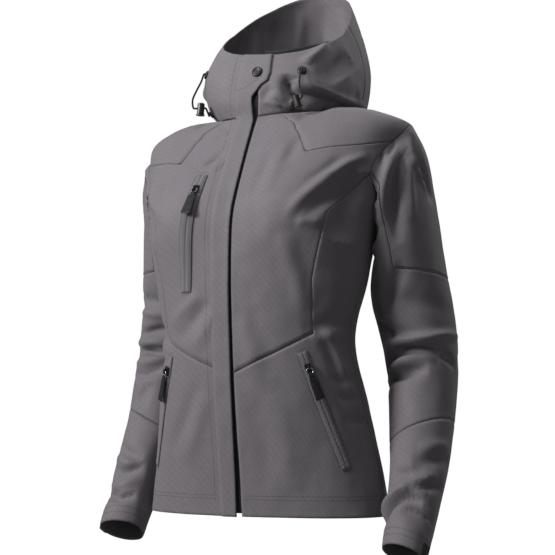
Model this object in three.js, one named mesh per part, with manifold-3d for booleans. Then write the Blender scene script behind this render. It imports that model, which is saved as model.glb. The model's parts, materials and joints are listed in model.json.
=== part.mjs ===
// Hooded softshell jacket on its own hollow form, in millimetres.
// +Z is up, -Y is the front and +X is the wearer's left.
// The origin is the middle of the neck opening, at the height of the neck seam.
import * as THREE from "three";
import Module from "manifold-3d";

const wasm = await Module();
wasm.setup();

// Driving sizes
const CLOTH = 2;
const SEAM_HALF = 0.15;
const CORNER_ROOM = 4;
const BUST = { x: 82, z: -167, wide: 55, tall: 62, out: 14 };
const SHOULDER_DROP = 7;
const ARM_DROP = 8;
const ARM_SHIFT = 5;
const CAP_TUCK = 8;
const ARMHOLE = { row: 7, front: 26, sag: 0.5, back: 28, steps: 36 };
const BODY_CLEARANCE = { gap: 4, blend: 0.15, by: 1 };
const CUFF_TAB = { from: -2, to: 28, top: 10.62 };
const HOOD_LEAN = { x: 0.058, z: 0.12 };
const ZIP = { right: -4, left: 10, thick: 1.6 };
const FLAP = { seam: -24, edge: 6, tab: 29, lift: 1, thick: 2.2 };

// The body as level rings: heights at front, side and back, half width, front, side and back depth,
// and how square the front and back halves are (2 is an ellipse).
const BODY = [
  { name: "hem", zF: -592, zS: -592, zB: -597, half: 187, front: -105, side: -7, back: 96, nF: 2.2, nB: 2.2 },
  { name: "seat", zF: -520, zS: -520, zB: -520, half: 176, front: -114, side: -12, back: 90, nF: 2.2, nB: 2.2 },
  { name: "hip", zF: -435, zS: -435, zB: -435, half: 161, front: -127, side: -25, back: 77, nF: 2.2, nB: 2.2 },
  { name: "waist", zF: -340, zS: -340, zB: -340, half: 147, front: -136, side: -38, back: 64, nF: 2.2, nB: 2.2 },
  { name: "ribs", zF: -255, zS: -255, zB: -255, half: 163, front: -139, side: -26, back: 80, nF: 2.3, nB: 2.2 },
  { name: "bust", zF: -180, zS: -180, zB: -180, half: 175, front: -135, side: -14, back: 95, nF: 2.8, nB: 2.2 },
  { name: "armpit", zF: -130, zS: -134, zB: -130, half: 188, front: -120, side: 4, back: 106, nF: 3, nB: 2.3 },
  { name: "chest", zF: -76, zS: -70, zB: -60, half: 203, front: -95, side: 26, back: 118, nF: 2.8, nB: 2.3 },
  { name: "shoulder", zF: -38, zS: -17, zB: -4, half: 212, front: -76, side: 40, back: 118, nF: 2.4, nB: 2.3 },
  { name: "slope", zF: -22, zS: 4, zB: 8, half: 146, front: -68, side: 30, back: 100, nF: 2.1, nB: 2.1 },
  { name: "neck", zF: -12, zS: -5, zB: 14, half: 84, front: -67, side: 12, back: 72, nF: 2, nB: 2 },
];
const NECK_ROW = BODY.length - 1;

// The hood as rings from the neck seam to the rim, with the same columns.
const HOOD = [
  { name: "neck", zF: -12, zS: -4, zB: 16, half: 84, front: -67, side: 12, back: 72, nF: 2, nB: 2 },
  { name: "lip", zF: 14, zS: 17, zB: 34, half: 112, front: -70, side: 42, back: 189, nF: 2.4, nB: 2.2 },
  { name: "belly", zF: 42, zS: 66, zB: 104, half: 121, front: -66, side: 50, back: 202, nF: 2.6, nB: 2.2 },
  { name: "upper", zF: 66, zS: 108, zB: 178, half: 111, front: -60, side: 46, back: 194, nF: 2.5, nB: 2.1 },
  { name: "rim", zF: 84, zS: 140, zB: 242, half: 94, front: -54, side: 42, back: 173, nF: 2.3, nB: 1.9 },
];
const RIM_ROW = HOOD.length - 1;

// The left sleeve as rings: outer and inner point, middle depth, half depth, how far the ring's front
// is raised in degrees, and how far its front is pushed outwards.
const SLEEVE = [
  { name: "root", outX: 213, outZ: -27, inX: 168, inZ: -138, y: 34, deep: 66, lean: 0, skew: 0 },
  { name: "cap", outX: 229, outZ: -58, inX: 160, inZ: -154, y: 32, deep: 70, lean: 0, skew: 0 },
  { name: "upper", outX: 235, outZ: -100, inX: 147, inZ: -174, y: 38, deep: 74, lean: 2, skew: 0 },
  { name: "bicep", outX: 242, outZ: -160, inX: 137, inZ: -205, y: 46, deep: 76, lean: 4, skew: 0 },
  { name: "mid", outX: 250, outZ: -232, inX: 135, inZ: -252, y: 56, deep: 74, lean: 5, skew: 0 },
  { name: "above", outX: 259, outZ: -300, inX: 147, inZ: -308, y: 64, deep: 66, lean: 6, skew: 0 },
  { name: "elbow", outX: 265, outZ: -360, inX: 159, inZ: -362, y: 60, deep: 58, lean: 12, skew: 0 },
  { name: "below", outX: 267, outZ: -425, inX: 169, inZ: -420, y: 46, deep: 52, lean: 20, skew: 1 },
  { name: "fore", outX: 267, outZ: -485, inX: 176, inZ: -478, y: 26, deep: 47, lean: 25, skew: 2 },
  { name: "low", outX: 266, outZ: -545, inX: 184, inZ: -536, y: -3, deep: 42, lean: 28, skew: 4 },
  { name: "wrist", outX: 262, outZ: -595, inX: 190, inZ: -584, y: -30, deep: 38, lean: 28, skew: 6 },
  { name: "cuff", outX: 258, outZ: -636, inX: 195, inZ: -626, y: -54, deep: 35, lean: 28, skew: 7 },
];
const CUFF_ROW = SLEEVE.length - 1;

// Folds of the sleeves and body: where each trough runs, how wide it is and how deep.
// On a sleeve, at is its row and angle the side of the sleeve that it is deepest on.
const SLEEVE_FOLDS = [
  { at: 4.75, angle: 60, reach: 70, wide: 0.22, deep: 4 },
  { at: 5.55, angle: 100, reach: 60, wide: 0.2, deep: 5 },
  { at: 6.05, angle: 90, reach: 85, wide: 0.2, deep: 7 },
  { at: 6.55, angle: 110, reach: 60, wide: 0.2, deep: 5 },
  { at: 9.6, angle: 80, reach: 75, wide: 0.22, deep: 5 },
  { at: 10.05, angle: 70, reach: 55, wide: 0.16, deep: 4 },
];

// Seams and fittings, in millimetres across (x) and up (z) on the front.
const YOKE_SEAM = [
  { x: 60, z: -15 },
  { x: 66, z: -24 },
  { x: 78, z: -38 },
  { x: 90, z: -56 },
  { x: 103, z: -78 },
];
const WAIST_SEAM = { middle: -392, corner: { x: 120, z: -338 } };
const PRINCESS_SEAM = [
  { x: 120, z: -338 },
  { x: 120, z: -292 },
  { x: 121, z: -264 },
  { x: 127, z: -237 },
  { x: 137, z: -200 },
  { x: 146, z: -168 },
];
const PRINCESS_TOP = 120;
const YOKE_END = 70;
const HEM_SPLIT = 50;
const SIDE_SEAM = { hem: 92, armpit: 90 };
const HOOD_SEAM = 101;
const CHEST_ZIP = { top: { x: -54, z: -103 }, end: { x: -67, z: -276 }, wide: 18 };
const HAND_ZIP = { top: { x: 106, z: -364 }, end: { x: 154, z: -524 }, wide: 12 };
const SLIDER = { wide: 9, long: 13, base: 3, arch: 6.8, from: 24 };
const PULL = { long: 46, wide: 14, thick: 1.5, pivot: 4.25 };
const CORD = 3;
const LOCK = { wide: 11, bore: 4.6, long: 16 };

const DEG = Math.PI / 180;
const clamp = (value, low, high) => Math.min(high, Math.max(low, value));
const mix = (a, b, t) => a + (b - a) * t;
const smooth = (t) => {
  const c = clamp(t, 0, 1);
  return c * c * (3 - 2 * c);
};

// A named column of a table, smoothly between its rows.
function along(rows, key, at) {
  const last = rows.length - 1;
  const v = clamp(at, 0, last);
  const i = Math.min(Math.floor(v), last - 1);
  const t = v - i;
  const p1 = rows[i][key];
  const p2 = rows[i + 1][key];
  const p0 = i > 0 ? rows[i - 1][key] : 2 * p1 - p2;
  const p3 = i < last - 1 ? rows[i + 2][key] : 2 * p2 - p1;
  const a = 2 * p1 + (p2 - p0) * t;
  const b = (2 * p0 - 5 * p1 + 4 * p2 - p3) * t * t;
  return 0.5 * (a + b + (3 * p1 - p0 - 3 * p2 + p3) * t * t * t);
}

// A point of a ring: angle 0 is the front, 90 the wearer's left and 180 the back.
function ringPoint(rows, angle, v) {
  const s = Math.sin(angle * DEG);
  const c = Math.cos(angle * DEG);
  const ahead = c >= 0;
  const n = along(rows, ahead ? "nF" : "nB", v);
  const r = (Math.abs(s) ** n + Math.abs(c) ** n) ** (-1 / n);
  const side = along(rows, "side", v);
  const reach = ahead ? side - along(rows, "front", v) : along(rows, "back", v) - side;
  const q = r * Math.abs(c);
  return {
    x: along(rows, "half", v) * r * s,
    y: side + (ahead ? -reach : reach) * q,
    q,
    c,
    rise: along(rows, ahead ? "zF" : "zB", v) - along(rows, "zS", v),
    base: along(rows, "zS", v),
    ahead,
  };
}

const drop = (x, z) => SHOULDER_DROP * smooth((Math.abs(x) - 120) / 93) * smooth((z + 200) / 100);

// The outside of the body, by angle and row.
function body(angle, v) {
  const p = ringPoint(BODY, angle, v);
  const z = p.base + p.rise * p.c * p.c;
  const u = (Math.abs(p.x) - BUST.x) / BUST.wide;
  const w = (z - BUST.z) / BUST.tall;
  const bust = p.ahead ? BUST.out * Math.exp(-u * u - w * w) : 0;
  return new THREE.Vector3(p.x, p.y - bust, z - drop(p.x, z));
}

// The outside of the hood, by angle and row. It leans a little to the wearer's left.
function hood(angle, v) {
  const p = ringPoint(HOOD, angle, v);
  const level = clamp(v, 0, 1);
  const z = p.base + p.rise * mix(p.c * p.c, p.q, level);
  const up = smooth(v / 2);
  return new THREE.Vector3(p.x + HOOD_LEAN.x * Math.max(z, 0) * up, p.y, z - HOOD_LEAN.z * p.x * up);
}

// The armhole seam on the body: 0 is the shoulder point, 90 the front, 180 the armpit, 270 the back.
function armhole(alpha) {
  const s = Math.sin(alpha * DEG);
  const c = Math.cos(alpha * DEG);
  const reach = s > 0 ? ARMHOLE.front * (1 - ARMHOLE.sag * c) : ARMHOLE.back;
  return [90 - reach * s, ARMHOLE.row + c];
}

// The body's row at a height below the armpit.
function rowAt(z) {
  let low = 0;
  let high = NECK_ROW;
  for (let i = 0; i < 30; i++) {
    const middle = (low + high) / 2;
    if (along(BODY, "zF", middle) < z) low = middle;
    else high = middle;
  }
  return low;
}

// The row and angle of a place on the front, from its x and z.
function onFront(x, z) {
  let v = rowAt(z);
  let angle = 0;
  for (let round = 0; round < 4; round++) {
    let low = 0;
    let high = 90;
    for (let i = 0; i < 25; i++) {
      const middle = (low + high) / 2;
      if (ringPoint(BODY, middle, v).x < Math.abs(x)) low = middle;
      else high = middle;
    }
    angle = low;
    const c = Math.cos(angle * DEG);
    v = rowAt(z + (along(BODY, "zF", v) - along(BODY, "zS", v)) * (1 - c * c));
  }
  return [Math.sign(x) * angle, v];
}

const frontAngle = (x, v) => Math.asin(x / along(BODY, "half", v)) / DEG;
const hoodAngle = (x, v) => Math.asin(x / along(HOOD, "half", v)) / DEG;

// Keeps a sleeve's inner side just outside the body it rests against.
function offBody(p, u, alpha) {
  if (p.z > -60) return;
  const height = p.z + drop(p.x, p.z);
  const near = smooth(u / BODY_CLEARANCE.by);
  const gap = BODY_CLEARANCE.gap * near;
  let v = rowAt(height);
  let side;
  let rho;
  for (let round = 0; round < 4; round++) {
    side = along(BODY, "side", v);
    const ahead = p.y < side;
    const n = along(BODY, ahead ? "nF" : "nB", v);
    const reach = ahead ? side - along(BODY, "front", v) : along(BODY, "back", v) - side;
    const across = Math.abs(p.x) / (along(BODY, "half", v) + gap);
    const deep = Math.abs(p.y - side) / (reach + gap);
    rho = (across ** n + deep ** n) ** (1 / n);
    const share = deep ** 2 / (across ** 2 + deep ** 2);
    const ringZ = mix(along(BODY, "zS", v), along(BODY, ahead ? "zF" : "zB", v), share);
    v = rowAt(height + along(BODY, "zF", v) - ringZ);
  }
  const w = BODY_CLEARANCE.blend * near + 0.001;
  if (rho > 1 + w) return;
  const target = rho < 1 - w ? 1 : 1 + (rho - 1 + w) ** 2 / (4 * w);
  const outer = smooth((Math.cos(alpha * DEG) - 0.2) / 0.5);
  const k = mix(1, target / rho, mix(1, smooth((-60 - p.z) / 70), outer));
  p.x *= k;
  p.y = side + (p.y - side) * k;
}

// A ring of the sleeve before it is joined to the armhole.
function sleeveRing(alpha, u) {
  const s = Math.sin(alpha * DEG);
  const c = Math.cos(alpha * DEG);
  const outX = along(SLEEVE, "outX", u);
  const outZ = along(SLEEVE, "outZ", u);
  const inX = along(SLEEVE, "inX", u);
  const inZ = along(SLEEVE, "inZ", u);
  const deep = along(SLEEVE, "deep", u);
  const lean = along(SLEEVE, "lean", u) * DEG;
  const fold = SLEEVE_FOLDS.reduce((sum, f) => {
    const away = Math.abs(((alpha - f.angle + 540) % 360) - 180) / f.reach;
    const step = (u - f.at + 0.0025 * (alpha - f.angle)) / f.wide;
    return away < 1 ? sum + f.deep * Math.cos((away * Math.PI) / 2) ** 2 * Math.exp(-step * step) : sum;
  }, 0);
  const wide = Math.max(10, (outX - inX) / 2);
  const k = 1 - fold / wide;
  return new THREE.Vector3(
    (outX + inX) / 2 + k * (wide * c + along(SLEEVE, "skew", u) * s),
    along(SLEEVE, "y", u) - k * deep * s * Math.cos(lean),
    (outZ + inZ) / 2 + ((outZ - inZ) / 2) * c + k * deep * s * Math.sin(lean),
  );
}

// The outside of a sleeve; side is 1 on the wearer's left and -1 on the right.
function sleeve(side, alpha, u) {
  const [angle, v] = armhole(alpha);
  const root = ringPoint(BODY, angle, v);
  const rootZ = root.base + root.rise * root.c * root.c;
  const hold = clamp(1 - u / 2, 0, 1) ** 2;
  const p = sleeveRing(alpha, u);
  const first = sleeveRing(alpha, 0);
  p.x += hold * (root.x - first.x);
  p.y += hold * (root.y - first.y);
  p.z += hold * (rootZ - first.z);
  p.z -= mix(side * ARM_DROP, drop(root.x, rootZ), hold);
  p.x = side * p.x + ARM_SHIFT * (1 - hold);
  if (side < 0) p.x += CAP_TUCK * Math.max(0, Math.cos(alpha * DEG)) * Math.sin(clamp(u / 3, 0, 1) * Math.PI);
  offBody(p, u, alpha);
  return p;
}

// The outward normal of a surface of two parameters.
function normalOf(surface, a, b) {
  const da = surface(a + 0.5, b).sub(surface(a - 0.5, b));
  const db = surface(a, b + 0.02).sub(surface(a, b - 0.02));
  return da.cross(db).normalize();
}

// A surface whose two parameters always turn its normal outwards.
const BODY_SURFACE = { at: body, normal: (a, b) => normalOf(body, a, clamp(b, 0.03, NECK_ROW - 0.03)) };
const HOOD_SURFACE = { at: hood, normal: (a, b) => normalOf(hood, a, clamp(b, 0.03, RIM_ROW - 0.03)) };
const sleeveSurface = (side) => ({
  at: (a, b) => sleeve(side, a, b),
  normal: (a, b) => {
    const away = normalOf((p, q) => sleeve(side, p, q), a, clamp(b, 0.03, CUFF_ROW - 0.03));
    return away.multiplyScalar(side);
  },
});

// A straight run of n steps between two places in a surface's parameters.
function run(from, to, n) {
  return Array.from({ length: n + 1 }, (_, i) => [mix(from[0], to[0], i / n), mix(from[1], to[1], i / n)]);
}

// Several runs joined end to end.
const chain = (...runs) => runs.reduce((all, next) => (all.length ? all.concat(next.slice(1)) : next), []);

// A grid of places inside four edges; bottom and top run the same way, as do left and right.
function fill(bottom, top, left, right) {
  const n = bottom.length - 1;
  const m = left.length - 1;
  return left.map((_, j) =>
    bottom.map((__, i) => {
      const s = i / n;
      const t = j / m;
      return [0, 1].map((k) => {
        const ruled = mix(bottom[i][k], top[i][k], t) + mix(left[j][k], right[j][k], s);
        const corners = mix(mix(bottom[0][k], bottom[n][k], s), mix(top[0][k], top[n][k], s), t);
        return ruled - corners;
      });
    }),
  );
}

// A plain four-sided patch between two angles and two rows.
function patch(left, right, low, high, n) {
  return run([0, low], [0, high], n).map(([, v]) => run([left, v], [right, v], n));
}

// Points and normals of a grid of places on a surface.
function lay(surface, grid) {
  const spot = ([a, b]) => ({ point: surface.at(a, b), normal: surface.normal(a, b) });
  return grid.map((row) => row.map(spot));
}

// The one of a list of spots that sits at a point, if any does.
const spotAt = (list, point) => list.find((spot) => spot.point.distanceToSquared(point) < 1e-4);

// Where sleeve and body meet at an angle, both walls end on the plane halfway between them.
const seamNormals = [];
for (const side of [1, -1]) {
  const surface = sleeveSurface(side);
  const step = 360 / ARMHOLE.steps;
  for (let i = 0; i < ARMHOLE.steps; i++) {
    const alpha = i * step;
    const point = surface.at(alpha, 0);
    const edge = surface.at(alpha + step, 0).sub(surface.at(alpha - step, 0));
    const [angle, v] = armhole(alpha);
    const bodyWay = body(side * mix(90, angle, 1.5), mix(ARMHOLE.row, v, 1.5)).sub(point);
    const sleeveWay = surface.at(alpha, 0.67).sub(point);
    const square = (way, like) => {
      const across = edge.clone().cross(way).normalize();
      return across.dot(like) < 0 ? across.negate() : across;
    };
    const normal = square(bodyWay, BODY_SURFACE.normal(side * angle, v));
    normal.add(square(sleeveWay, surface.normal(alpha, 0.3))).normalize();
    seamNormals.push({ point, normal });
  }
}

// One piece of cloth from grids that share edges: a closed wall, its edges drawn in by half a seam gap.
function cloth(grids, { lift = 0, thick = CLOTH, gap = SEAM_HALF } = {}) {
  const verts = [];
  const vertex = (spot) => {
    const met = spotAt(verts, spot.point);
    if (met) return met.id;
    const seam = spotAt(seamNormals, spot.point);
    const normal = (seam ?? spot).normal.clone();
    const id = verts.length;
    verts.push({ id, seam, point: spot.point.clone(), normal, pull: new THREE.Vector3(), edges: 0 });
    return id;
  };
  const faces = [];
  for (const grid of grids) {
    const ids = grid.map((row) => row.map(vertex));
    const quads = [];
    for (let j = 0; j + 1 < ids.length; j++) {
      for (let i = 0; i + 1 < ids[j].length; i++) {
        quads.push([ids[j][i], ids[j][i + 1], ids[j + 1][i + 1], ids[j + 1][i]]);
      }
    }
    const flip = quads.reduce((sum, quad) => sum + facing(verts, quad), 0) < 0;
    for (const quad of quads) {
      const [a, b, c, d] = flip ? quad.reverse() : quad;
      if (a !== b && b !== c && c !== a) faces.push([a, b, c]);
      if (a !== c && c !== d && d !== a) faces.push([a, c, d]);
    }
  }
  const open = new Map();
  for (const face of faces) {
    face.forEach((a, k) => {
      const b = face[(k + 1) % 3];
      if (open.has(b + "," + a)) open.delete(b + "," + a);
      else open.set(a + "," + b, [a, b]);
    });
  }
  for (const [a, b] of open.values()) {
    const edge = verts[b].point.clone().sub(verts[a].point).normalize();
    for (const [v, other] of [[verts[a], verts[b]], [verts[b], verts[a]]]) {
      const own = v.normal.clone().cross(edge);
      const used = own.length() > 0.8 ? own : other.normal.clone().cross(edge);
      v.pull.add(used.normalize());
      v.edges += 1;
    }
  }
  for (const v of verts) {
    if (!v.edges) continue;
    const length = v.pull.length() / v.edges;
    const room = v.seam && length < 0.85 ? CORNER_ROOM : 1;
    v.point.addScaledVector(v.pull.normalize(), (room * gap) / Math.max(0.4, length));
  }
  const place = (v, height) => v.point.clone().addScaledVector(v.normal, height);
  const outer = verts.map((v) => place(v, lift + thick * (lift > 0 ? 1 : 0)));
  const inner = verts.map((v) => place(v, lift > 0 ? lift : -thick - (lift < 0 ? -lift : 0)));
  if (lift < 0) verts.forEach((v, i) => outer[i].copy(place(v, lift)));
  const count = verts.length;
  const index = [];
  for (const [a, b, c] of faces) index.push(a, b, c, a + count, c + count, b + count);
  // Neighbours split a shared edge's wall along the same diagonal, so their walls stay side by side.
  const order = (v) => verts[v].point.dot(new THREE.Vector3(1, 1.37, 2.11));
  for (const [a, b] of open.values()) {
    if (order(a) < order(b)) index.push(b, a, b + count, a, a + count, b + count);
    else index.push(b, a, a + count, b, a + count, b + count);
  }
  return shape(outer.concat(inner), index);
}

// Which way a quad turns against its corners' own normals.
function facing(verts, [a, b, c, d]) {
  const first = verts[c].point.clone().sub(verts[a].point);
  const second = verts[d].point.clone().sub(verts[b].point);
  const out = verts[a].normal.clone().add(verts[b].normal).add(verts[c].normal).add(verts[d].normal);
  return first.cross(second).dot(out);
}

function shape(points, index) {
  const geometry = new THREE.BufferGeometry();
  const flat = points.flatMap((p) => p.toArray());
  geometry.setAttribute("position", new THREE.Float32BufferAttribute(flat, 3));
  geometry.setIndex(index);
  geometry.computeVertexNormals();
  return geometry;
}

const FINISH = {
  cloth: { color: 0x706b70, roughness: 0.85 },
  rib: { color: 0x1c1b1d, roughness: 0.9 },
  zip: { color: 0x17161a, roughness: 0.6 },
  tape: { color: 0x8a868b, roughness: 0.8 },
  metal: { color: 0xb9b9bd, roughness: 0.35, metalness: 0.9 },
  plastic: { color: 0x131214, roughness: 0.45 },
};
const group = new THREE.Group();
group.name = "softshell_jacket";

function add(name, geometry, finish) {
  const mesh = new THREE.Mesh(geometry, new THREE.MeshStandardMaterial(FINISH[finish]));
  mesh.name = name;
  group.add(mesh);
  return mesh;
}

const mirrored = (places, side) => places.map(([a, b]) => [a * side, b]);

// Seams, as runs of places in the body's parameters on the wearer's left.
const STEP = 360 / ARMHOLE.steps;
const armholeRun = (from, to) => {
  const n = Math.round(Math.abs(to - from) / STEP);
  return Array.from({ length: n + 1 }, (_, i) => armhole(from + ((to - from) * i) / n));
};
const places = (points) => points.map(({ x, z }) => onFront(x, z));
const [seamTop, seamNear, seamMiddle, seamLow, seamEnd] = places(YOKE_SEAM);
const yokeSeam = chain(
  run(seamEnd, seamLow, 2),
  run(seamLow, seamMiddle, 1),
  run(seamMiddle, seamNear, 2),
  run(seamNear, [seamTop[0], NECK_ROW], 1),
);
const yokeCorner = yokeSeam[0];
const neckAngle = yokeSeam[yokeSeam.length - 1][0];
const yokeFront = run(yokeCorner, armhole(YOKE_END), 3);
const waistCorner = onFront(WAIST_SEAM.corner.x, WAIST_SEAM.corner.z);
const princessSeam = places(PRINCESS_SEAM).concat([armhole(PRINCESS_TOP)]);
const sideSeam = run([SIDE_SEAM.hem, 0], [SIDE_SEAM.armpit, ARMHOLE.row - 1], 14);
const FRONT_ROWS = 8;
const COLLAR_ROWS = 6;
const HOOD_ROWS = 8;
const waistRow = rowAt(WAIST_SEAM.middle);

// The rows of the front's middle edge, shared by the panels, the zip and the flap, so that they lie flat.
const steps = (from, to, n) => run([0, from], [0, to], n).map(([, v]) => v);
const frontRight = chain(princessSeam, armholeRun(PRINCESS_TOP, YOKE_END));
const frontRise = armhole(YOKE_END)[1] - waistCorner[1];
const frontShare = frontRight.map(([, v]) => (v - waistCorner[1]) / frontRise);
const lowerRows = steps(0, waistRow, FRONT_ROWS);
const chestRows = frontShare.map((t) => mix(waistRow, yokeCorner[1], t));
const collarRows = steps(yokeCorner[1], NECK_ROW, COLLAR_ROWS);
const hoodRows = steps(0, RIM_ROW, HOOD_ROWS);
const hoodPart = hoodRows.slice(1).map((v) => v + NECK_ROW);
const openingRows = [...lowerRows, ...chestRows.slice(1), ...collarRows.slice(1), ...hoodPart];

for (const side of [1, -1]) {
  const name = side > 0 ? "left" : "right";
  const edgeX = side > 0 ? ZIP.left : -ZIP.right;
  const edge = (v) => [frontAngle(edgeX, v), v];
  const waist = run(edge(waistRow), waistCorner, 7);
  const chestLine = chain(run(edge(yokeCorner[1]), yokeCorner, 4), yokeFront);
  const chest = fill(waist, chestLine, chestRows.map(edge), frontRight);
  const neckEdge = run(edge(NECK_ROW), [neckAngle, NECK_ROW], 4);
  const collarSide = fill(chestLine.slice(0, 5), neckEdge, collarRows.map(edge), yokeSeam);
  const placed = (grid) => lay(BODY_SURFACE, grid.map((row) => mirrored(row, side)));
  const piece = (...grids) => cloth(grids.map(placed));
  add(`front_${name}_upper`, piece(chest, collarSide), "cloth");

  const hem = run(edge(0), [HEM_SPLIT, 0], 7);
  const split = run([HEM_SPLIT, 0], waistCorner, FRONT_ROWS);
  const lower = fill(hem, waist, lowerRows.map(edge), split);
  const sideLeft = chain(split, princessSeam);
  const sideHem = run([HEM_SPLIT, 0], [SIDE_SEAM.hem, 0], 6);
  const sideTop = armholeRun(PRINCESS_TOP, 180);
  const sideBody = fill(sideHem, sideTop, sideLeft, sideSeam);
  add(`front_${name}_lower`, piece(lower, sideBody), "cloth");
}

// The back and the yoke cross the middle, so their angles run on past 180.
const BACK_COLUMNS = 12;
const backHem = run([SIDE_SEAM.hem, 0], [360 - SIDE_SEAM.hem, 0], BACK_COLUMNS);
const backArmhole = armholeRun(180, 270);
const backSeam = run(armhole(270), [360 - armhole(270)[0], ARMHOLE.row], BACK_COLUMNS);
const backLeft = chain(sideSeam, backArmhole);
const across = (spots) => spots.map(([a, b]) => [360 - a, b]);
add("back", cloth([lay(BODY_SURFACE, fill(backHem, backSeam, backLeft, across(backLeft)))]), "cloth");

const yokeHalf = chain(yokeFront, armholeRun(YOKE_END, -90));
const yokeOuter = chain(yokeHalf, backSeam, across(yokeHalf).reverse());
const yokeInner = run([neckAngle, NECK_ROW], [360 - neckAngle, NECK_ROW], yokeOuter.length - 1);
add("yoke", cloth([lay(BODY_SURFACE, fill(yokeOuter, yokeInner, yokeSeam, across(yokeSeam)))]), "cloth");

// Sleeves: the outer shoulder panel, the L-shaped underarm and elbow panel, and the lower sleeve.
const OUTER_STEPS = 20;
const UNDER_STEPS = ARMHOLE.steps - OUTER_STEPS;
const frontSeam = (u) => 120 - 38 * smooth(u / 3.9) - 2 * Math.sin(Math.min(u / 3.9, 1) * Math.PI);
const BACK_SEAM = 280;
const acrossSeam = (alpha) => 4 + 0.15 * Math.cos(alpha * DEG);
const forearmSeam = (alpha) => 7.79 + 0.41 * Math.cos((alpha - 160) * DEG);
const outerAngle = (i, u) => mix(BACK_SEAM - 360, frontSeam(u), i / OUTER_STEPS);
const underAngle = (i, u) => mix(frontSeam(u), BACK_SEAM, i / UNDER_STEPS);

// Rows of a sleeve panel between two seams that run round the arm.
function sleeveGrid(angleAt, columns, rows, from, to) {
  return Array.from({ length: rows + 1 }, (_, j) =>
    Array.from({ length: columns + 1 }, (__, i) => {
      const guess = mix(from(angleAt(i, 2)), to(angleAt(i, 4)), j / rows);
      const alpha = angleAt(i, guess);
      const u = mix(from(alpha), to(alpha), j / rows);
      return [angleAt(i, u), u];
    }),
  );
}

for (const side of [1, -1]) {
  const name = side > 0 ? "left" : "right";
  const surface = sleeveSurface(side);
  const root = () => 0;
  const end = () => CUFF_ROW;
  const panel = (...grids) => cloth(grids.map((grid) => lay(surface, grid)));
  add(`sleeve_${name}_outer`, panel(sleeveGrid(outerAngle, OUTER_STEPS, 6, root, acrossSeam)), "cloth");
  add(
    `sleeve_${name}_main`,
    panel(
      sleeveGrid(underAngle, UNDER_STEPS, 6, root, acrossSeam),
      sleeveGrid(outerAngle, OUTER_STEPS, 9, acrossSeam, forearmSeam),
      sleeveGrid(underAngle, UNDER_STEPS, 9, acrossSeam, forearmSeam),
    ),
    "cloth",
  );
  add(
    `sleeve_${name}_lower`,
    panel(
      sleeveGrid(outerAngle, OUTER_STEPS, 7, forearmSeam, end),
      sleeveGrid(underAngle, UNDER_STEPS, 7, forearmSeam, end),
    ),
    "cloth",
  );
  const tab = lay(surface, patch(CUFF_TAB.from, CUFF_TAB.to, CUFF_ROW, CUFF_TAB.top, 2));
  add(`cuff_tab_${name}`, cloth([tab], { lift: 0.4, thick: 1.6 }), "rib");
}

// Hood: two sides and the wide back piece, and the ribbed band inside the front of the rim.
const hoodRun = (angleAt, n = HOOD_ROWS, from = 0, to = RIM_ROW) =>
  run([0, from], [0, to], n).map(([, v]) => [angleAt(v), v]);
for (const side of [1, -1]) {
  const name = side > 0 ? "left" : "right";
  const edgeX = side > 0 ? ZIP.left : -ZIP.right;
  const front = hoodRun((v) => hoodAngle(edgeX, v));
  const back = hoodRun(() => HOOD_SEAM);
  const bottom = chain(run(front[0], [neckAngle, 0], 4), run([neckAngle, 0], back[0], 6));
  const rimMiddle = [neckAngle, RIM_ROW];
  const top = chain(run(front[HOOD_ROWS], rimMiddle, 4), run(rimMiddle, back[HOOD_ROWS], 6));
  const grid = fill(bottom, top, front, back).map((row) => mirrored(row, side));
  add(`hood_${name}`, cloth([lay(HOOD_SURFACE, grid)]), "cloth");
}
const hoodBack = fill(
  run([HOOD_SEAM, 0], [360 - HOOD_SEAM, 0], 12),
  run([HOOD_SEAM, RIM_ROW], [360 - HOOD_SEAM, RIM_ROW], 12),
  hoodRun(() => HOOD_SEAM),
  hoodRun(() => 360 - HOOD_SEAM),
);
add("hood_center", cloth([lay(HOOD_SURFACE, hoodBack)]), "cloth");

const FACING = { from: 8, to: 76, low: 3.35, proud: 4 };
const facingGrid = Array.from({ length: 4 }, (_, j) =>
  Array.from({ length: 9 }, (__, i) => {
    const angle = mix(FACING.from, FACING.to, i / 8);
    const v = mix(FACING.low, RIM_ROW, Math.min(j / 2, 1));
    const spot = { point: hood(angle, v), normal: HOOD_SURFACE.normal(angle, v) };
    if (j === 3) spot.point.z += FACING.proud;
    return spot;
  }),
);
add("hood_facing", cloth([facingGrid], { lift: -(CLOTH + 1.2), thick: 1.5 }), "rib");

// The front opening, as one way up from the hem, through the neck seam, to the rim.
function onOpening(x, w) {
  if (w <= NECK_ROW) {
    const angle = frontAngle(x, w);
    return { point: body(angle, w), normal: BODY_SURFACE.normal(angle, w) };
  }
  const v = w - NECK_ROW;
  const angle = hoodAngle(x, v);
  const spot = { point: hood(angle, v), normal: HOOD_SURFACE.normal(angle, v) };
  if (v < 0.5) {
    const below = BODY_SURFACE.normal(frontAngle(x, NECK_ROW - 0.1), NECK_ROW - 0.1);
    spot.normal.lerp(below, 0.5 - v).normalize();
  }
  return spot;
}

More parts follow.
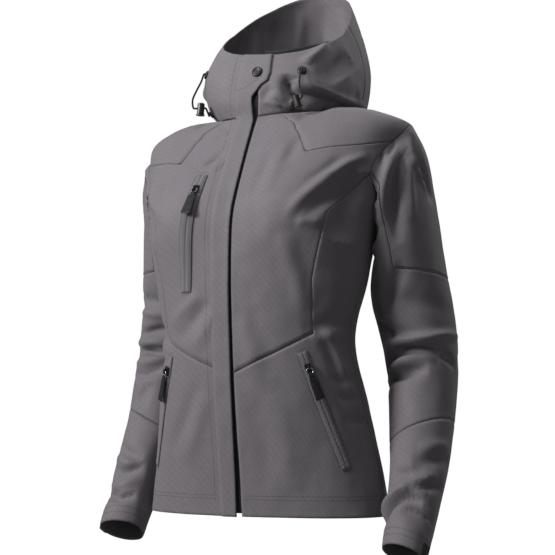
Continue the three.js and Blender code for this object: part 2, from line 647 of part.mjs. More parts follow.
const TAB_EDGE = [
  { w: 0, x: 3 },
  { w: 2, x: FLAP.edge },
  { w: 11.1, x: FLAP.edge },
  { w: 11.42, x: 11.8 },
  { w: 11.77, x: 18 },
  { w: 12.02, x: 27 },
  { w: 12.5, x: FLAP.tab },
  { w: 13.97, x: 26 },
];
const flapRows = [...new Set([...openingRows, 11.42, 11.77, 12.02])].sort((a, b) => a - b);
flapRows[flapRows.length - 1] = 13.97;
const flapEdge = (w) => {
  const i = Math.max(1, TAB_EDGE.findIndex((row) => row.w >= w));
  const low = TAB_EDGE[i - 1];
  const high = TAB_EDGE[i];
  return mix(low.x, high.x, (w - low.w) / (high.w - low.w));
};
const flapRow = (w) => [0, 0.33, 0.67, 1].map((t) => onOpening(mix(FLAP.seam, flapEdge(w), t), w));
const flapGrid = flapRows.map(flapRow);
add("storm_flap", cloth([flapGrid], { lift: FLAP.lift, thick: FLAP.thick, gap: 0 }), "cloth");

const zipRows = openingRows.slice(0, -1).concat([13.85]);
const zipRow = (w) => [0, 0.5, 1].map((t) => onOpening(mix(ZIP.right, ZIP.left, t), Math.max(w, 0.06)));
const zipGrid = zipRows.map(zipRow);
add("front_zip", cloth([zipGrid], { lift: -0.2, thick: ZIP.thick }), "zip");

// A frame on a surface at a spot, with its y axis down along the given direction.
function frameAt(point, normal, down) {
  const n = normal.clone().normalize();
  const t = down.clone().addScaledVector(n, -down.dot(n)).normalize();
  const b = new THREE.Vector3().crossVectors(t, n);
  return new THREE.Matrix4().makeBasis(b, t, n).setPosition(point);
}

const snapSpot = onOpening(9, 12.5);
const snapFrame = frameAt(snapSpot.point, snapSpot.normal, new THREE.Vector3(0, 0, -1));
const snapShape = [
  [0, 0],
  [6.6, 0],
  [6.6, 1.2],
  [5.6, 2.1],
  [4.2, 2.3],
  [3.8, 1.7],
  [0, 1.7],
].map(([x, y]) => new THREE.Vector2(x, y));
const snap = new THREE.LatheGeometry(snapShape, 20);
snap.rotateX(Math.PI / 2);
snap.translate(0, 0, FLAP.lift + FLAP.thick + 0.3);
add("snap", closed(snap).applyMatrix4(snapFrame), "plastic");

// A lathe or extrusion as one closed body, through a solid of the cutting library.
function solid(geometry) {
  const plain = geometry.index ? geometry.toNonIndexed() : geometry;
  const at = plain.getAttribute("position");
  const found = new Map();
  const points = [];
  const faces = [];
  for (let i = 0; i < at.count; i++) {
    const p = [at.getX(i), at.getY(i), at.getZ(i)];
    const key = p.map((value) => Math.round(value * 1e4)).join(" ");
    if (!found.has(key)) {
      found.set(key, points.length / 3);
      points.push(...p);
    }
    faces.push(found.get(key));
  }
  const kept = [];
  for (let i = 0; i < faces.length; i += 3) {
    const [a, b, c] = faces.slice(i, i + 3);
    if (a !== b && b !== c && c !== a) kept.push(a, b, c);
  }
  const mesh = { numProp: 3, vertProperties: new Float32Array(points), triVerts: new Uint32Array(kept) };
  const made = new wasm.Manifold(new wasm.Mesh(mesh));
  if (made.volume() > 0) return made;
  mesh.triVerts.reverse();
  return new wasm.Manifold(new wasm.Mesh(mesh));
}

function geometryOf(made) {
  const mesh = made.getMesh();
  const geometry = new THREE.BufferGeometry();
  geometry.setAttribute("position", new THREE.BufferAttribute(mesh.vertProperties, 3));
  geometry.setIndex(new THREE.BufferAttribute(mesh.triVerts, 1));
  geometry.computeVertexNormals();
  return geometry;
}

function closed(geometry) {
  return geometryOf(solid(geometry));
}

// Zips that lie on the front, each with its slider and its swinging pull.
const frontSpot = ({ x, z }) => {
  const [angle, v] = onFront(x, z);
  return { point: body(angle, v), normal: BODY_SURFACE.normal(angle, v) };
};

function pocketZip(zip, side, steps) {
  const at = (t) => frontSpot({ x: mix(zip.top.x, zip.end.x, t) * side, z: mix(zip.top.z, zip.end.z, t) });
  const down = at(1).point.sub(at(0).point).normalize();
  const grid = Array.from({ length: steps + 1 }, (_, j) => {
    const spot = at(j / steps);
    const cross = new THREE.Vector3().crossVectors(down, spot.normal).normalize();
    return [-0.5, 0.5].map((k) => ({
      point: spot.point.clone().addScaledVector(cross, k * zip.wide),
      normal: spot.normal.clone(),
    }));
  });
  return { at, down, grid };
}

const sliderSide = [
  [-SLIDER.long / 2, 0.6],
  [SLIDER.long / 2, 0.6],
  [SLIDER.long / 2 - 0.6, SLIDER.base],
  [-SLIDER.long / 2 + 0.6, SLIDER.base],
];
const archSide = [
  [-3.2, SLIDER.base - 0.8],
  [3.2, SLIDER.base - 0.8],
  [3.2, SLIDER.arch - 0.8],
  [2.2, SLIDER.arch],
  [-2.2, SLIDER.arch],
  [-3.2, SLIDER.arch - 0.8],
];
const archHole = [
  [-1.6, SLIDER.base + 0.1],
  [-1.6, 5.4],
  [1.6, 5.4],
  [1.6, SLIDER.base + 0.1],
];

// A side view, in its length and height, given a width across.
function fromSide(outline, width, hole) {
  const flat = new THREE.Shape(outline.map(([t, n]) => new THREE.Vector2(t, n)));
  if (hole) flat.holes.push(new THREE.Path(hole.map(([t, n]) => new THREE.Vector2(t, n))));
  const made = new THREE.ExtrudeGeometry(flat, { depth: width, bevelEnabled: false });
  made.translate(0, 0, -width / 2);
  made.applyMatrix4(new THREE.Matrix4().set(0, 0, 1, 0, 1, 0, 0, 0, 0, 1, 0, 0, 0, 0, 0, 1));
  return solid(made);
}

function sliderBody() {
  const base = fromSide(sliderSide, SLIDER.wide);
  const arch = fromSide(archSide, 2.2, archHole);
  return geometryOf(wasm.Manifold.union([base, arch]));
}

// The pull seen from above: a ring round the slider's arch, a neck, and a grip that widens.
function pullBody() {
  const ring = 4;
  const outline = new THREE.Shape();
  outline.absarc(0, 3.2, ring, Math.PI * 0.32, Math.PI * 0.68, true);
  outline.lineTo(-1.8, 9.5);
  outline.lineTo(-3, 12);
  outline.lineTo(-PULL.wide / 2, PULL.long - 1.5);
  outline.lineTo(-PULL.wide / 2 + 1, PULL.long);
  outline.lineTo(PULL.wide / 2 - 1, PULL.long);
  outline.lineTo(PULL.wide / 2, PULL.long - 1.5);
  outline.lineTo(3, 12);
  outline.lineTo(1.8, 9.5);
  const hole = new THREE.Path();
  hole.absarc(0, 3.2, 2.45, 0, Math.PI * 2, false);
  outline.holes.push(hole);
  const options = { depth: PULL.thick, bevelEnabled: false, curveSegments: 6 };
  const made = new THREE.ExtrudeGeometry(outline, options);
  made.translate(0, 0, -PULL.thick / 2);
  return closed(made);
}

// How far a pull hangs off the cloth, when the cloth falls away below its slider.
function hangAngle(down, normal) {
  return Math.max(0, Math.atan2(-normal.z, -down.z));
}

const pivots = {};
function zipFittings(zip, side, names, tape) {
  const { at, down, grid } = pocketZip(zip, side, 6);
  add(names.zip, cloth([grid], { lift: 0.9, thick: 1, gap: 0 }), tape);
  const length = at(1).point.distanceTo(at(0).point);
  const spot = at(SLIDER.from / length);
  const base = spot.point.clone().addScaledVector(spot.normal, 1.8);
  const frame = frameAt(base, spot.normal, down);
  add(names.slider, sliderBody().applyMatrix4(frame), "metal");
  const hang = hangAngle(new THREE.Vector3().setFromMatrixColumn(frame, 1), spot.normal);
  const pull = pullBody();
  pull.rotateX(hang);
  pull.translate(0, 0, PULL.pivot);
  add(names.pull, pull.applyMatrix4(frame), "plastic");
  pivots[names.pull] = {
    origin: new THREE.Vector3(0, 0, PULL.pivot).applyMatrix4(frame),
    axis: new THREE.Vector3().setFromMatrixColumn(frame, 0),
    hang: hang / DEG,
  };
}

const namesOf = (kind, end) => ({ zip: `${kind}_zip${end}`, slider: `${kind}_slider${end}`, pull: `${kind}_pull${end}` });
zipFittings(CHEST_ZIP, 1, namesOf("chest", ""), "tape");
zipFittings(HAND_ZIP, 1, namesOf("hand", "_left"), "tape");
zipFittings(HAND_ZIP, -1, namesOf("hand", "_right"), "tape");
group.userData.pivots = pivots;

// Drawcord: an eyelet each side of the hood, a cord that loops out of it and back through its lock,
// and the webbing tab at the neck seam that the cord ends on. A cord's way is given from its lock.
const CORDS = {
  left: {
    eyelet: { angle: 36, v: 2.62 },
    way: [
      { x: 79, y: -59, z: 42 },
      { x: 81, y: -64, z: 26 },
      { x: 86, y: -66, z: 12 },
    ],
    lock: { x: 77, y: -66, z: 4 },
    through: { x: -0.95, y: 0.1, z: -0.3 },
    anchor: { angle: 40, v: 0.35 },
  },
  right: {
    eyelet: { angle: -50, v: 2.32 },
    way: [
      { x: -98, y: -42, z: 57 },
      { x: -103, y: -46, z: 44 },
      { x: -107, y: -51, z: 29 },
      { x: -103, y: -56, z: 15 },
    ],
    lock: { x: -89, y: -57, z: 12 },
    through: { x: 0.97, y: 0.1, z: -0.08 },
    anchor: { angle: -52, v: 0.6 },
  },
};

const EYELET = [
  [1.9, 0.3],
  [5.6, 0.3],
  [5.2, 1.5],
  [3.2, 2.1],
  [1.9, 1.6],
  [1.9, 0.3],
];

function tube(points, radius, spacing) {
  const curve = new THREE.CatmullRomCurve3(points, false, "centripetal");
  const section = new THREE.Shape(
    Array.from({ length: 8 }, (_, i) => {
      const turn = i * 45 * DEG;
      return new THREE.Vector2(Math.cos(turn) * radius, Math.sin(turn) * radius);
    }),
  );
  const count = Math.round(curve.getLength() / spacing);
  const options = { steps: count, bevelEnabled: false, extrudePath: curve };
  return closed(new THREE.ExtrudeGeometry(section, options));
}

// A turned piece: its outline is given as radius and height.
function turned(outline, sides) {
  const made = new THREE.LatheGeometry(outline.map(([x, y]) => new THREE.Vector2(x, y)), sides);
  return made.rotateX(Math.PI / 2);
}

const vector = ({ x, y, z }) => new THREE.Vector3(x, y, z);
const hoodSpot = ({ angle, v }) => ({ point: hood(angle, v), normal: HOOD_SURFACE.normal(angle, v) });
const downwards = new THREE.Vector3(0, 0, -1);

for (const [name, cord] of Object.entries(CORDS)) {
  const spot = hoodSpot(cord.eyelet);
  const ring = turned(EYELET, 20);
  add(`eyelet_${name}`, closed(ring).applyMatrix4(frameAt(spot.point, spot.normal, downwards)), "plastic");

  const through = vector(cord.through).normalize();
  const lockAt = vector(cord.lock);
  const upright = new THREE.Vector3(0, 0, 1).addScaledVector(through, -through.z).normalize();
  const away = new THREE.Vector3().crossVectors(upright, through);
  const lockFrame = new THREE.Matrix4().makeBasis(through, away, upright).setPosition(lockAt);
  const half = LOCK.long / 2;
  const r = LOCK.wide / 2;
  const barrel = turned(
    [
      [0, -half - 3],
      [r + 1, -half - 3],
      [r + 1, -half - 1],
      [r - 1.2, -half - 1],
      [r, -half],
      [r, half - 1],
      [r - 1, half],
      [0, half],
    ],
    16,
  );
  const drill = new THREE.CylinderGeometry(LOCK.bore / 2, LOCK.bore / 2, LOCK.wide * 2, 16);
  const bore = solid(drill.rotateZ(Math.PI / 2));
  const lock = geometryOf(solid(barrel).subtract(bore));
  add(`cord_lock_${name}`, lock.applyMatrix4(lockFrame), "plastic");

  const tie = hoodSpot(cord.anchor);
  const { angle, v } = cord.anchor;
  const tab = patch(angle - 2.6, angle + 2.6, v - 0.16, v + 0.16, 1);
  add(`cord_anchor_${name}`, cloth([lay(HOOD_SURFACE, tab)], { lift: 0.6, thick: 2 }), "rib");

  const line = [
    spot.point.clone().addScaledVector(spot.normal, 0.6),
    spot.point.clone().addScaledVector(spot.normal, 4),
    ...cord.way.map(vector),
    ...[-r - 3, -r, 0, r, r + 3].map((step) => lockAt.clone().addScaledVector(through, step)),
    tie.point.clone().addScaledVector(tie.normal, 4.8),
  ];
  add(`cord_${name}`, tube(line, CORD / 2, CORD * 2), "plastic");
}

export default group;
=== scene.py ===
# Hooded softshell jacket: finish, sewing, creases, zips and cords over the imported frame.
# Lengths are millimetres until a mesh is made, then metres. +Z is up, -Y the front, +X the wearer's left.
import json
import math

import bmesh
import bpy
import numpy as np
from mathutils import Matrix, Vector, kdtree, noise


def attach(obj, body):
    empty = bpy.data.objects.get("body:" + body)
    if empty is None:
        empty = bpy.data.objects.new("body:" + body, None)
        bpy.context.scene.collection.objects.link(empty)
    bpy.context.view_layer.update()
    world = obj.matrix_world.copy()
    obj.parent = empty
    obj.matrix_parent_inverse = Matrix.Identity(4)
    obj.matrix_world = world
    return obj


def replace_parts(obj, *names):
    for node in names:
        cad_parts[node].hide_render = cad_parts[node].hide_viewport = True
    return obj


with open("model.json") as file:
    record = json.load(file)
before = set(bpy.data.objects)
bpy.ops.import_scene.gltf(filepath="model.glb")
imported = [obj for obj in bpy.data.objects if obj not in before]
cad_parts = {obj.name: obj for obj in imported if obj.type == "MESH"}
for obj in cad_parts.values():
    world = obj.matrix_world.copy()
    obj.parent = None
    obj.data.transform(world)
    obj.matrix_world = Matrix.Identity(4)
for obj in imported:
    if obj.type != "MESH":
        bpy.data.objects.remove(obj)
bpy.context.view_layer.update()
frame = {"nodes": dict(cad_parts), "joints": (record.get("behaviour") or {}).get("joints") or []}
MM = 0.001

# Camera: how far round and how far away it stands, and how far it looks up.
CAMERA = {"round": 27.0, "pitch": 6.2, "far": 1957.0, "height": -457.0, "aside": 11.0, "lens": 85.0}

# Cloth: its thickness, how far a piece draws in at a seam, and how deep and wide the seam's groove is.
CLOTH = 1.8
SEAM_PULL = 0.12
SEAM_SINK = 0.55
SEAM_GROOVE = 1.2
BUST = {"x": 82, "z": -167, "wide": 55, "tall": 62, "out": 14}
SHOULDER_DROP = 7
ARM_DROP = 8
ARM_SHIFT = 5
CAP_TUCK = 8
ARMHOLE = {"row": 7, "front": 26, "sag": 0.5, "back": 28}
BODY_CLEARANCE = {"gap": 4, "blend": 0.15, "by": 1}
HOOD_LEAN = {"x": 0.058, "z": 0.12}
ZIP = {"right": -4, "left": 10}
# The left edge gapes beside the collar: by how much, at which row, and over how many rows up and down.
GAPE = {"by": 5, "at": 10.9, "up": 0.75, "down": 1.5}
FLAP = {"seam": -24, "edge": 6, "tab": 29, "lift": 1.0, "thick": 2.2}


def table(columns, rows):
    """The rows of a table as one array for each named column."""
    return {name: np.array([row[i] for row in rows], float) for i, name in enumerate(columns)}


RING = ("zF", "zS", "zB", "half", "front", "side", "back", "nF", "nB")
BODY = table(
    RING,
    [
        (-592, -592, -597, 187, -105, -7, 96, 2.2, 2.2),
        (-520, -520, -520, 176, -114, -12, 90, 2.2, 2.2),
        (-435, -435, -435, 161, -127, -25, 77, 2.2, 2.2),
        (-340, -340, -340, 147, -136, -38, 64, 2.2, 2.2),
        (-255, -255, -255, 163, -139, -26, 80, 2.3, 2.2),
        (-180, -180, -180, 175, -135, -14, 95, 2.8, 2.2),
        (-130, -134, -130, 188, -120, 4, 106, 3, 2.3),
        (-76, -70, -60, 203, -95, 26, 118, 2.8, 2.3),
        (-38, -17, -4, 212, -76, 40, 118, 2.4, 2.3),
        (-22, 4, 8, 146, -68, 30, 100, 2.1, 2.1),
        (-12, -5, 14, 84, -67, 12, 72, 2, 2),
    ],
)
NECK_ROW = 10
HOOD = table(
    RING,
    [
        (-12, -4, 16, 84, -67, 12, 72, 2, 2),
        (14, 17, 34, 112, -70, 42, 189, 2.4, 2.2),
        (42, 66, 104, 121, -66, 50, 202, 2.6, 2.2),
        (66, 108, 178, 111, -60, 46, 194, 2.5, 2.1),
        (84, 140, 242, 94, -54, 42, 173, 2.3, 1.9),
    ],
)
RIM_ROW = 4
SLEEVE = table(
    ("outX", "outZ", "inX", "inZ", "y", "deep", "lean", "skew"),
    [
        (213, -27, 168, -138, 34, 66, 0, 0),
        (229, -58, 160, -154, 32, 70, 0, 0),
        (235, -100, 147, -174, 38, 74, 2, 0),
        (242, -160, 137, -205, 46, 76, 4, 0),
        (250, -232, 135, -252, 56, 74, 5, 0),
        (259, -300, 147, -308, 64, 66, 6, 0),
        (265, -360, 159, -362, 60, 58, 12, 0),
        (267, -425, 169, -420, 46, 52, 20, 1),
        (267, -485, 176, -478, 26, 47, 25, 2),
        (266, -545, 184, -536, -3, 42, 28, 4),
        (262, -595, 190, -584, -30, 38, 28, 6),
        (258, -636, 195, -626, -54, 35, 28, 7),
    ],
)
CUFF_ROW = 11
SLEEVE_FOLDS = [
    {"at": 4.75, "angle": 60, "reach": 70, "wide": 0.22, "deep": 4},
    {"at": 5.55, "angle": 100, "reach": 60, "wide": 0.2, "deep": 5},
    {"at": 6.05, "angle": 90, "reach": 85, "wide": 0.2, "deep": 7},
    {"at": 6.55, "angle": 110, "reach": 60, "wide": 0.2, "deep": 5},
    {"at": 9.6, "angle": 80, "reach": 75, "wide": 0.22, "deep": 5},
    {"at": 10.05, "angle": 70, "reach": 55, "wide": 0.16, "deep": 4},
]

YOKE_SEAM = [(60, -15), (66, -24), (78, -38), (90, -56), (103, -78)]
WAIST_MIDDLE = -392
WAIST_CORNER = (120, -338)
PRINCESS_SEAM = [(120, -338), (120, -292), (121, -264), (127, -237), (137, -200), (146, -168)]
PRINCESS_TOP = 120
YOKE_END = 70
HEM_SPLIT = 50
SIDE_SEAM = {"hem": 92, "armpit": 90}
HOOD_SEAM = 101
CHEST_ZIP = {"top": (-54, -103), "end": (-67, -276), "wide": 18}
HAND_ZIP = {"top": (106, -364), "end": (154, -524), "wide": 12}
SLIDER = {"wide": 9, "long": 13, "from": 24, "base": 1.8}
PULL = {"long": 46, "wide": 14, "thick": 1.5, "pivot": 4.25}
CORD = 3.0
LOCK = {"wide": 11, "bore": 4.6, "long": 16}


def mix(a, b, t):
    return a + (b - a) * t


def smooth(t):
    c = np.clip(t, 0, 1)
    return c * c * (3 - 2 * c)


def along(rows, key, at):
    """A named column of a table, smoothly between its rows."""
    column = rows[key]
    last = len(column) - 1
    v = np.clip(at, 0, last)
    i = np.minimum(np.floor(v).astype(int), last - 1)
    t = v - i
    ends = np.concatenate([[2 * column[0] - column[1]], column, [2 * column[-1] - column[-2]]])
    p0, p1, p2, p3 = (ends[i + k] for k in range(4))
    b = 2 * p0 - 5 * p1 + 4 * p2 - p3
    return 0.5 * (2 * p1 + (p2 - p0) * t + b * t * t + (3 * p1 - p0 - 3 * p2 + p3) * t**3)


def ring_point(rows, angle, v):
    """A point of a ring: angle 0 is the front, 90 the wearer's left and 180 the back."""
    s, c = np.sin(np.radians(angle)), np.cos(np.radians(angle))
    ahead = c >= 0
    n = np.where(ahead, along(rows, "nF", v), along(rows, "nB", v))
    r = (np.abs(s) ** n + np.abs(c) ** n) ** (-1 / n)
    side = along(rows, "side", v)
    reach = np.where(ahead, side - along(rows, "front", v), along(rows, "back", v) - side)
    q = r * np.abs(c)
    base = along(rows, "zS", v)
    rise = np.where(ahead, along(rows, "zF", v), along(rows, "zB", v)) - base
    x = along(rows, "half", v) * r * s
    return x, side + np.where(ahead, -reach, reach) * q, base, rise, q, c, ahead


def drop(x, z):
    """How much the shoulder's end is lowered: nothing near the middle or far below it."""
    return SHOULDER_DROP * smooth((np.abs(x) - 120) / 93) * smooth((z + 200) / 100)


def body(angle, v):
    """The outside of the body at an angle and row, with its bust."""
    x, y, base, rise, _, c, ahead = ring_point(BODY, angle, v)
    z = base + rise * c * c
    u, w = (np.abs(x) - BUST["x"]) / BUST["wide"], (z - BUST["z"]) / BUST["tall"]
    bust = np.where(ahead, BUST["out"] * np.exp(-u * u - w * w), 0)
    return np.stack([x, y - bust, z - drop(x, z)], -1)


def hood(angle, v):
    """The outside of the hood at an angle and row, leaning to one side."""
    x, y, base, rise, q, c, _ = ring_point(HOOD, angle, v)
    z = base + rise * mix(c * c, q, np.clip(v, 0, 1))
    up = smooth(v / 2)
    return np.stack([x + HOOD_LEAN["x"] * np.maximum(z, 0) * up, y, z - HOOD_LEAN["z"] * x * up], -1)


def armhole(alpha):
    """The armhole seam on the body: 0 is the shoulder point, 90 the front, 180 the armpit."""
    s, c = np.sin(np.radians(alpha)), np.cos(np.radians(alpha))
    reach = np.where(s > 0, ARMHOLE["front"] * (1 - ARMHOLE["sag"] * c), ARMHOLE["back"])
    return np.stack([90 - reach * s, ARMHOLE["row"] + c], -1)


ROWS = np.linspace(0, NECK_ROW, 1001)
ROW_HEIGHTS = along(BODY, "zF", ROWS)


def row_at(z):
    return np.interp(z, ROW_HEIGHTS, ROWS)


def on_front(x, z):
    """The angle and row of a place on the front, from its x and z."""
    v = float(row_at(z))
    turn = np.linspace(0, 90, 721)
    for _ in range(4):
        angle = float(np.interp(abs(x), ring_point(BODY, turn, np.full(721, v))[0], turn))
        c = math.cos(math.radians(angle))
        v = float(row_at(z + float(along(BODY, "zF", v) - along(BODY, "zS", v)) * (1 - c * c)))
    return math.copysign(angle, x), v


def off_body(p, u, alpha):
    """Keeps a sleeve's inner side just outside the body it rests against."""
    x, y, z = p[..., 0], p[..., 1], p[..., 2]
    height = z + drop(x, z)
    near = smooth(u / BODY_CLEARANCE["by"])
    gap = BODY_CLEARANCE["gap"] * near
    v = row_at(height)
    for _ in range(4):
        side = along(BODY, "side", v)
        ahead = y < side
        n = np.where(ahead, along(BODY, "nF", v), along(BODY, "nB", v))
        reach = np.where(ahead, side - along(BODY, "front", v), along(BODY, "back", v) - side)
        across = np.abs(x) / (along(BODY, "half", v) + gap)
        deep = np.abs(y - side) / (reach + gap)
        rho = (across**n + deep**n) ** (1 / n)
        share = deep**2 / (across**2 + deep**2)
        ring = mix(along(BODY, "zS", v), np.where(ahead, along(BODY, "zF", v), along(BODY, "zB", v)), share)
        v = row_at(height + along(BODY, "zF", v) - ring)
    w = BODY_CLEARANCE["blend"] * near + 0.001
    target = np.where(rho < 1 - w, 1, 1 + (rho - 1 + w) ** 2 / (4 * w))
    k = np.where((z > -60) | (rho > 1 + w), 1, target / rho)
    outer = smooth((np.cos(np.radians(alpha)) - 0.2) / 0.5)
    k = mix(1, k, mix(1, smooth((-60 - z) / 70), outer))
    return np.stack([x * k, side + (y - side) * k, z], -1)


def sleeve_ring(alpha, u):
    s, c = np.sin(np.radians(alpha)), np.cos(np.radians(alpha))
    out_x, out_z, in_x, in_z = (along(SLEEVE, key, u) for key in ("outX", "outZ", "inX", "inZ"))
    deep, lean = along(SLEEVE, "deep", u), np.radians(along(SLEEVE, "lean", u))
    fold = 0
    for f in SLEEVE_FOLDS:
        away = np.abs((alpha - f["angle"] + 540) % 360 - 180) / f["reach"]
        step = (u - f["at"] + 0.0025 * (alpha - f["angle"])) / f["wide"]
        part = f["deep"] * np.cos(away * np.pi / 2) ** 2 * np.exp(-step * step)
        fold = fold + np.where(away < 1, part, 0)
    wide = np.maximum(10, (out_x - in_x) / 2)
    k = 1 - fold / wide
    x = (out_x + in_x) / 2 + k * (wide * c + along(SLEEVE, "skew", u) * s)
    y = along(SLEEVE, "y", u) - k * deep * s * np.cos(lean)
    z = (out_z + in_z) / 2 + (out_z - in_z) / 2 * c + k * deep * s * np.sin(lean)
    return np.stack([x, y, z], -1)


def sleeve(side, alpha, u):
    """The outside of a sleeve; side is 1 on the wearer's left and -1 on the right."""
    seam = armhole(alpha)
    x, y, base, rise, _, c, _ = ring_point(BODY, seam[..., 0], seam[..., 1])
    root = np.stack([x, y, base + rise * c * c], -1)
    hold = np.clip(1 - u / 2, 0, 1) ** 2
    p = sleeve_ring(alpha, u) + hold[..., None] * (root - sleeve_ring(alpha, np.zeros_like(u)))
    p[..., 2] -= mix(side * ARM_DROP, drop(root[..., 0], root[..., 2]), hold)
    p[..., 0] = side * p[..., 0] + ARM_SHIFT * (1 - hold)
    if side < 0:
        over = np.maximum(0, np.cos(np.radians(alpha)))
        p[..., 0] += CAP_TUCK * over * np.sin(np.clip(u / 3, 0, 1) * np.pi)
    return off_body(p, u, alpha)


def surface(shape, top):
    """A surface of angle and row, as the points and outward normals of a grid of places."""

    def lay(places):
        a, b = np.asarray(places, float)[..., 0], np.asarray(places, float)[..., 1]
        inner = np.clip(b, 0.03, top - 0.03)
        turn = shape(a + 0.5, inner) - shape(a - 0.5, inner)
        rise = shape(a, inner + 0.02) - shape(a, inner - 0.02)
        normal = np.cross(turn, rise)
        return shape(a, b), normal / np.linalg.norm(normal, axis=-1, keepdims=True)

    return lay


on_body = surface(body, NECK_ROW)
on_hood = surface(hood, RIM_ROW)


def on_sleeve(side):
    lay = surface(lambda a, u: sleeve(side, a, u), CUFF_ROW)

    def turned(places):
        points, normals = lay(places)
        return points, normals * side

    return turned


def front_angle(x, v):
    return np.degrees(np.arcsin(x / along(BODY, "half", v)))


def hood_angle(x, v):
    return np.degrees(np.arcsin(x / along(HOOD, "half", v)))


def on_opening(x, w):
    """The front opening, as one way up from the hem, through the neck seam, to the rim."""
    x, w = np.broadcast_arrays(np.asarray(x, float), np.asarray(w, float))
    v = w - NECK_ROW
    low = on_body(np.stack([front_angle(x, np.minimum(w, NECK_ROW)), np.minimum(w, NECK_ROW)], -1))
    high = on_hood(np.stack([hood_angle(x, np.maximum(v, 0)), np.maximum(v, 0)], -1))
    below = on_body(np.stack([front_angle(x, 9.9 + 0 * x), 9.9 + 0 * x], -1))[1]
    upper = v > 0
    near = np.clip(0.5 - v, 0, 0.5)[..., None]
    bent = mix(high[1], below, near)
    bent /= np.linalg.norm(bent, axis=-1, keepdims=True)
    return np.where(upper[..., None], high[0], low[0]), np.where(upper[..., None], bent, low[1])


# The camera and the drawcords' way come first; the way is the one in the part's source.
def make_camera():
    a, p = math.radians(CAMERA["round"]), math.radians(CAMERA["pitch"])
    right = Vector((math.cos(a), math.sin(a), 0))
    level = Vector((-math.sin(a), math.cos(a), 0))
    ahead = level * math.cos(p) + Vector((0, 0, math.sin(p)))
    place = -level * CAMERA["far"] + right * CAMERA["aside"] + Vector((0, 0, CAMERA["height"]))
    data = bpy.data.cameras.new("camera")
    data.lens = CAMERA["lens"]
    data.sensor_width = 36
    data.clip_end = 50
    camera = bpy.data.objects.new("camera", data)
    camera.location = place * MM
    camera.rotation_mode = "QUATERNION"
    camera.rotation_quaternion = ahead.to_track_quat("-Z", "Y")
    bpy.context.collection.objects.link(camera)
    bpy.context.scene.camera = camera


make_camera()

CORDS = {
    "left": {
        "eyelet": (36, 2.62),
        "way": [(79, -59, 42), (81, -64, 26), (86, -66, 12)],
        "lock": (77, -66, 4),
        "through": (-0.95, 0.1, -0.3),
        "anchor": (40, 0.35),
    },
    "right": {
        "eyelet": (-50, 2.32),
        "way": [(-98, -42, 57), (-103, -46, 44), (-107, -51, 29), (-103, -56, 15)],
        "lock": (-89, -57, 12),
        "through": (0.97, 0.1, -0.08),
        "anchor": (-52, 0.6),
    },
}


# Materials
def linear(rgb):
    return tuple((c / 255 / 12.92 if c < 11 else ((c / 255 + 0.055) / 1.055) ** 2.4) for c in rgb) + (1,)


def material(name, rgb, roughness, metallic=0.0, sheen=0.0, coat=0.0):
    """A material with its constants set, and its node tree, shader and surface position to build on."""
    made = bpy.data.materials.new(name)
    made.use_nodes = True
    tree = made.node_tree
    shader = tree.nodes["Principled BSDF"]
    shader.inputs["Base Color"].default_value = linear(rgb)
    shader.inputs["Roughness"].default_value = roughness
    shader.inputs["Metallic"].default_value = metallic
    shader.inputs["Sheen Weight"].default_value = sheen
    shader.inputs["Sheen Roughness"].default_value = 0.5
    shader.inputs["Coat Weight"].default_value = coat
    place = tree.nodes.new("ShaderNodeTexCoord").outputs["Object"]
    return made, tree, shader, place


def link(tree, out, into):
    tree.links.new(out, into)


def noise_node(tree, place, scale, detail=2.0, rough=0.5, stretch=None):
    node = tree.nodes.new("ShaderNodeTexNoise")
    node.inputs["Scale"].default_value = scale
    node.inputs["Detail"].default_value = detail
    node.inputs["Roughness"].default_value = rough
    if stretch:
        mapping = tree.nodes.new("ShaderNodeMapping")
        mapping.inputs["Scale"].default_value = stretch
        link(tree, place, mapping.inputs["Vector"])
        place = mapping.outputs["Vector"]
    link(tree, place, node.inputs["Vector"])
    return node.outputs["Fac"]


def remap(tree, value, low, high, out_low, out_high):
    node = tree.nodes.new("ShaderNodeMapRange")
    for key, number in zip(("From Min", "From Max", "To Min", "To Max"), (low, high, out_low, out_high)):
        node.inputs[key].default_value = number
    link(tree, value, node.inputs["Value"])
    return node.outputs["Result"]


def maths(tree, operation, first, second):
    node = tree.nodes.new("ShaderNodeMath")
    node.operation = operation
    for socket, value in zip(node.inputs, (first, second)):
        if isinstance(value, (int, float)):
            socket.default_value = value
        else:
            link(tree, value, socket)
    return node.outputs["Value"]


def bump(tree, height, strength, distance, below=None):
    node = tree.nodes.new("ShaderNodeBump")
    node.inputs["Strength"].default_value = strength
    node.inputs["Distance"].default_value = distance
    link(tree, height, node.inputs["Height"])
    if below:
        link(tree, below, node.inputs["Normal"])
    return node.outputs["Normal"]


def shade(tree, shader, rgb, value):
    """The base colour, darkened or lightened by a value round 1."""
    node = tree.nodes.new("ShaderNodeVectorMath")
    node.operation = "SCALE"
    node.inputs[0].default_value = linear(rgb)[:3]
    link(tree, value, node.inputs["Scale"])
    link(tree, node.outputs["Vector"], shader.inputs["Base Color"])


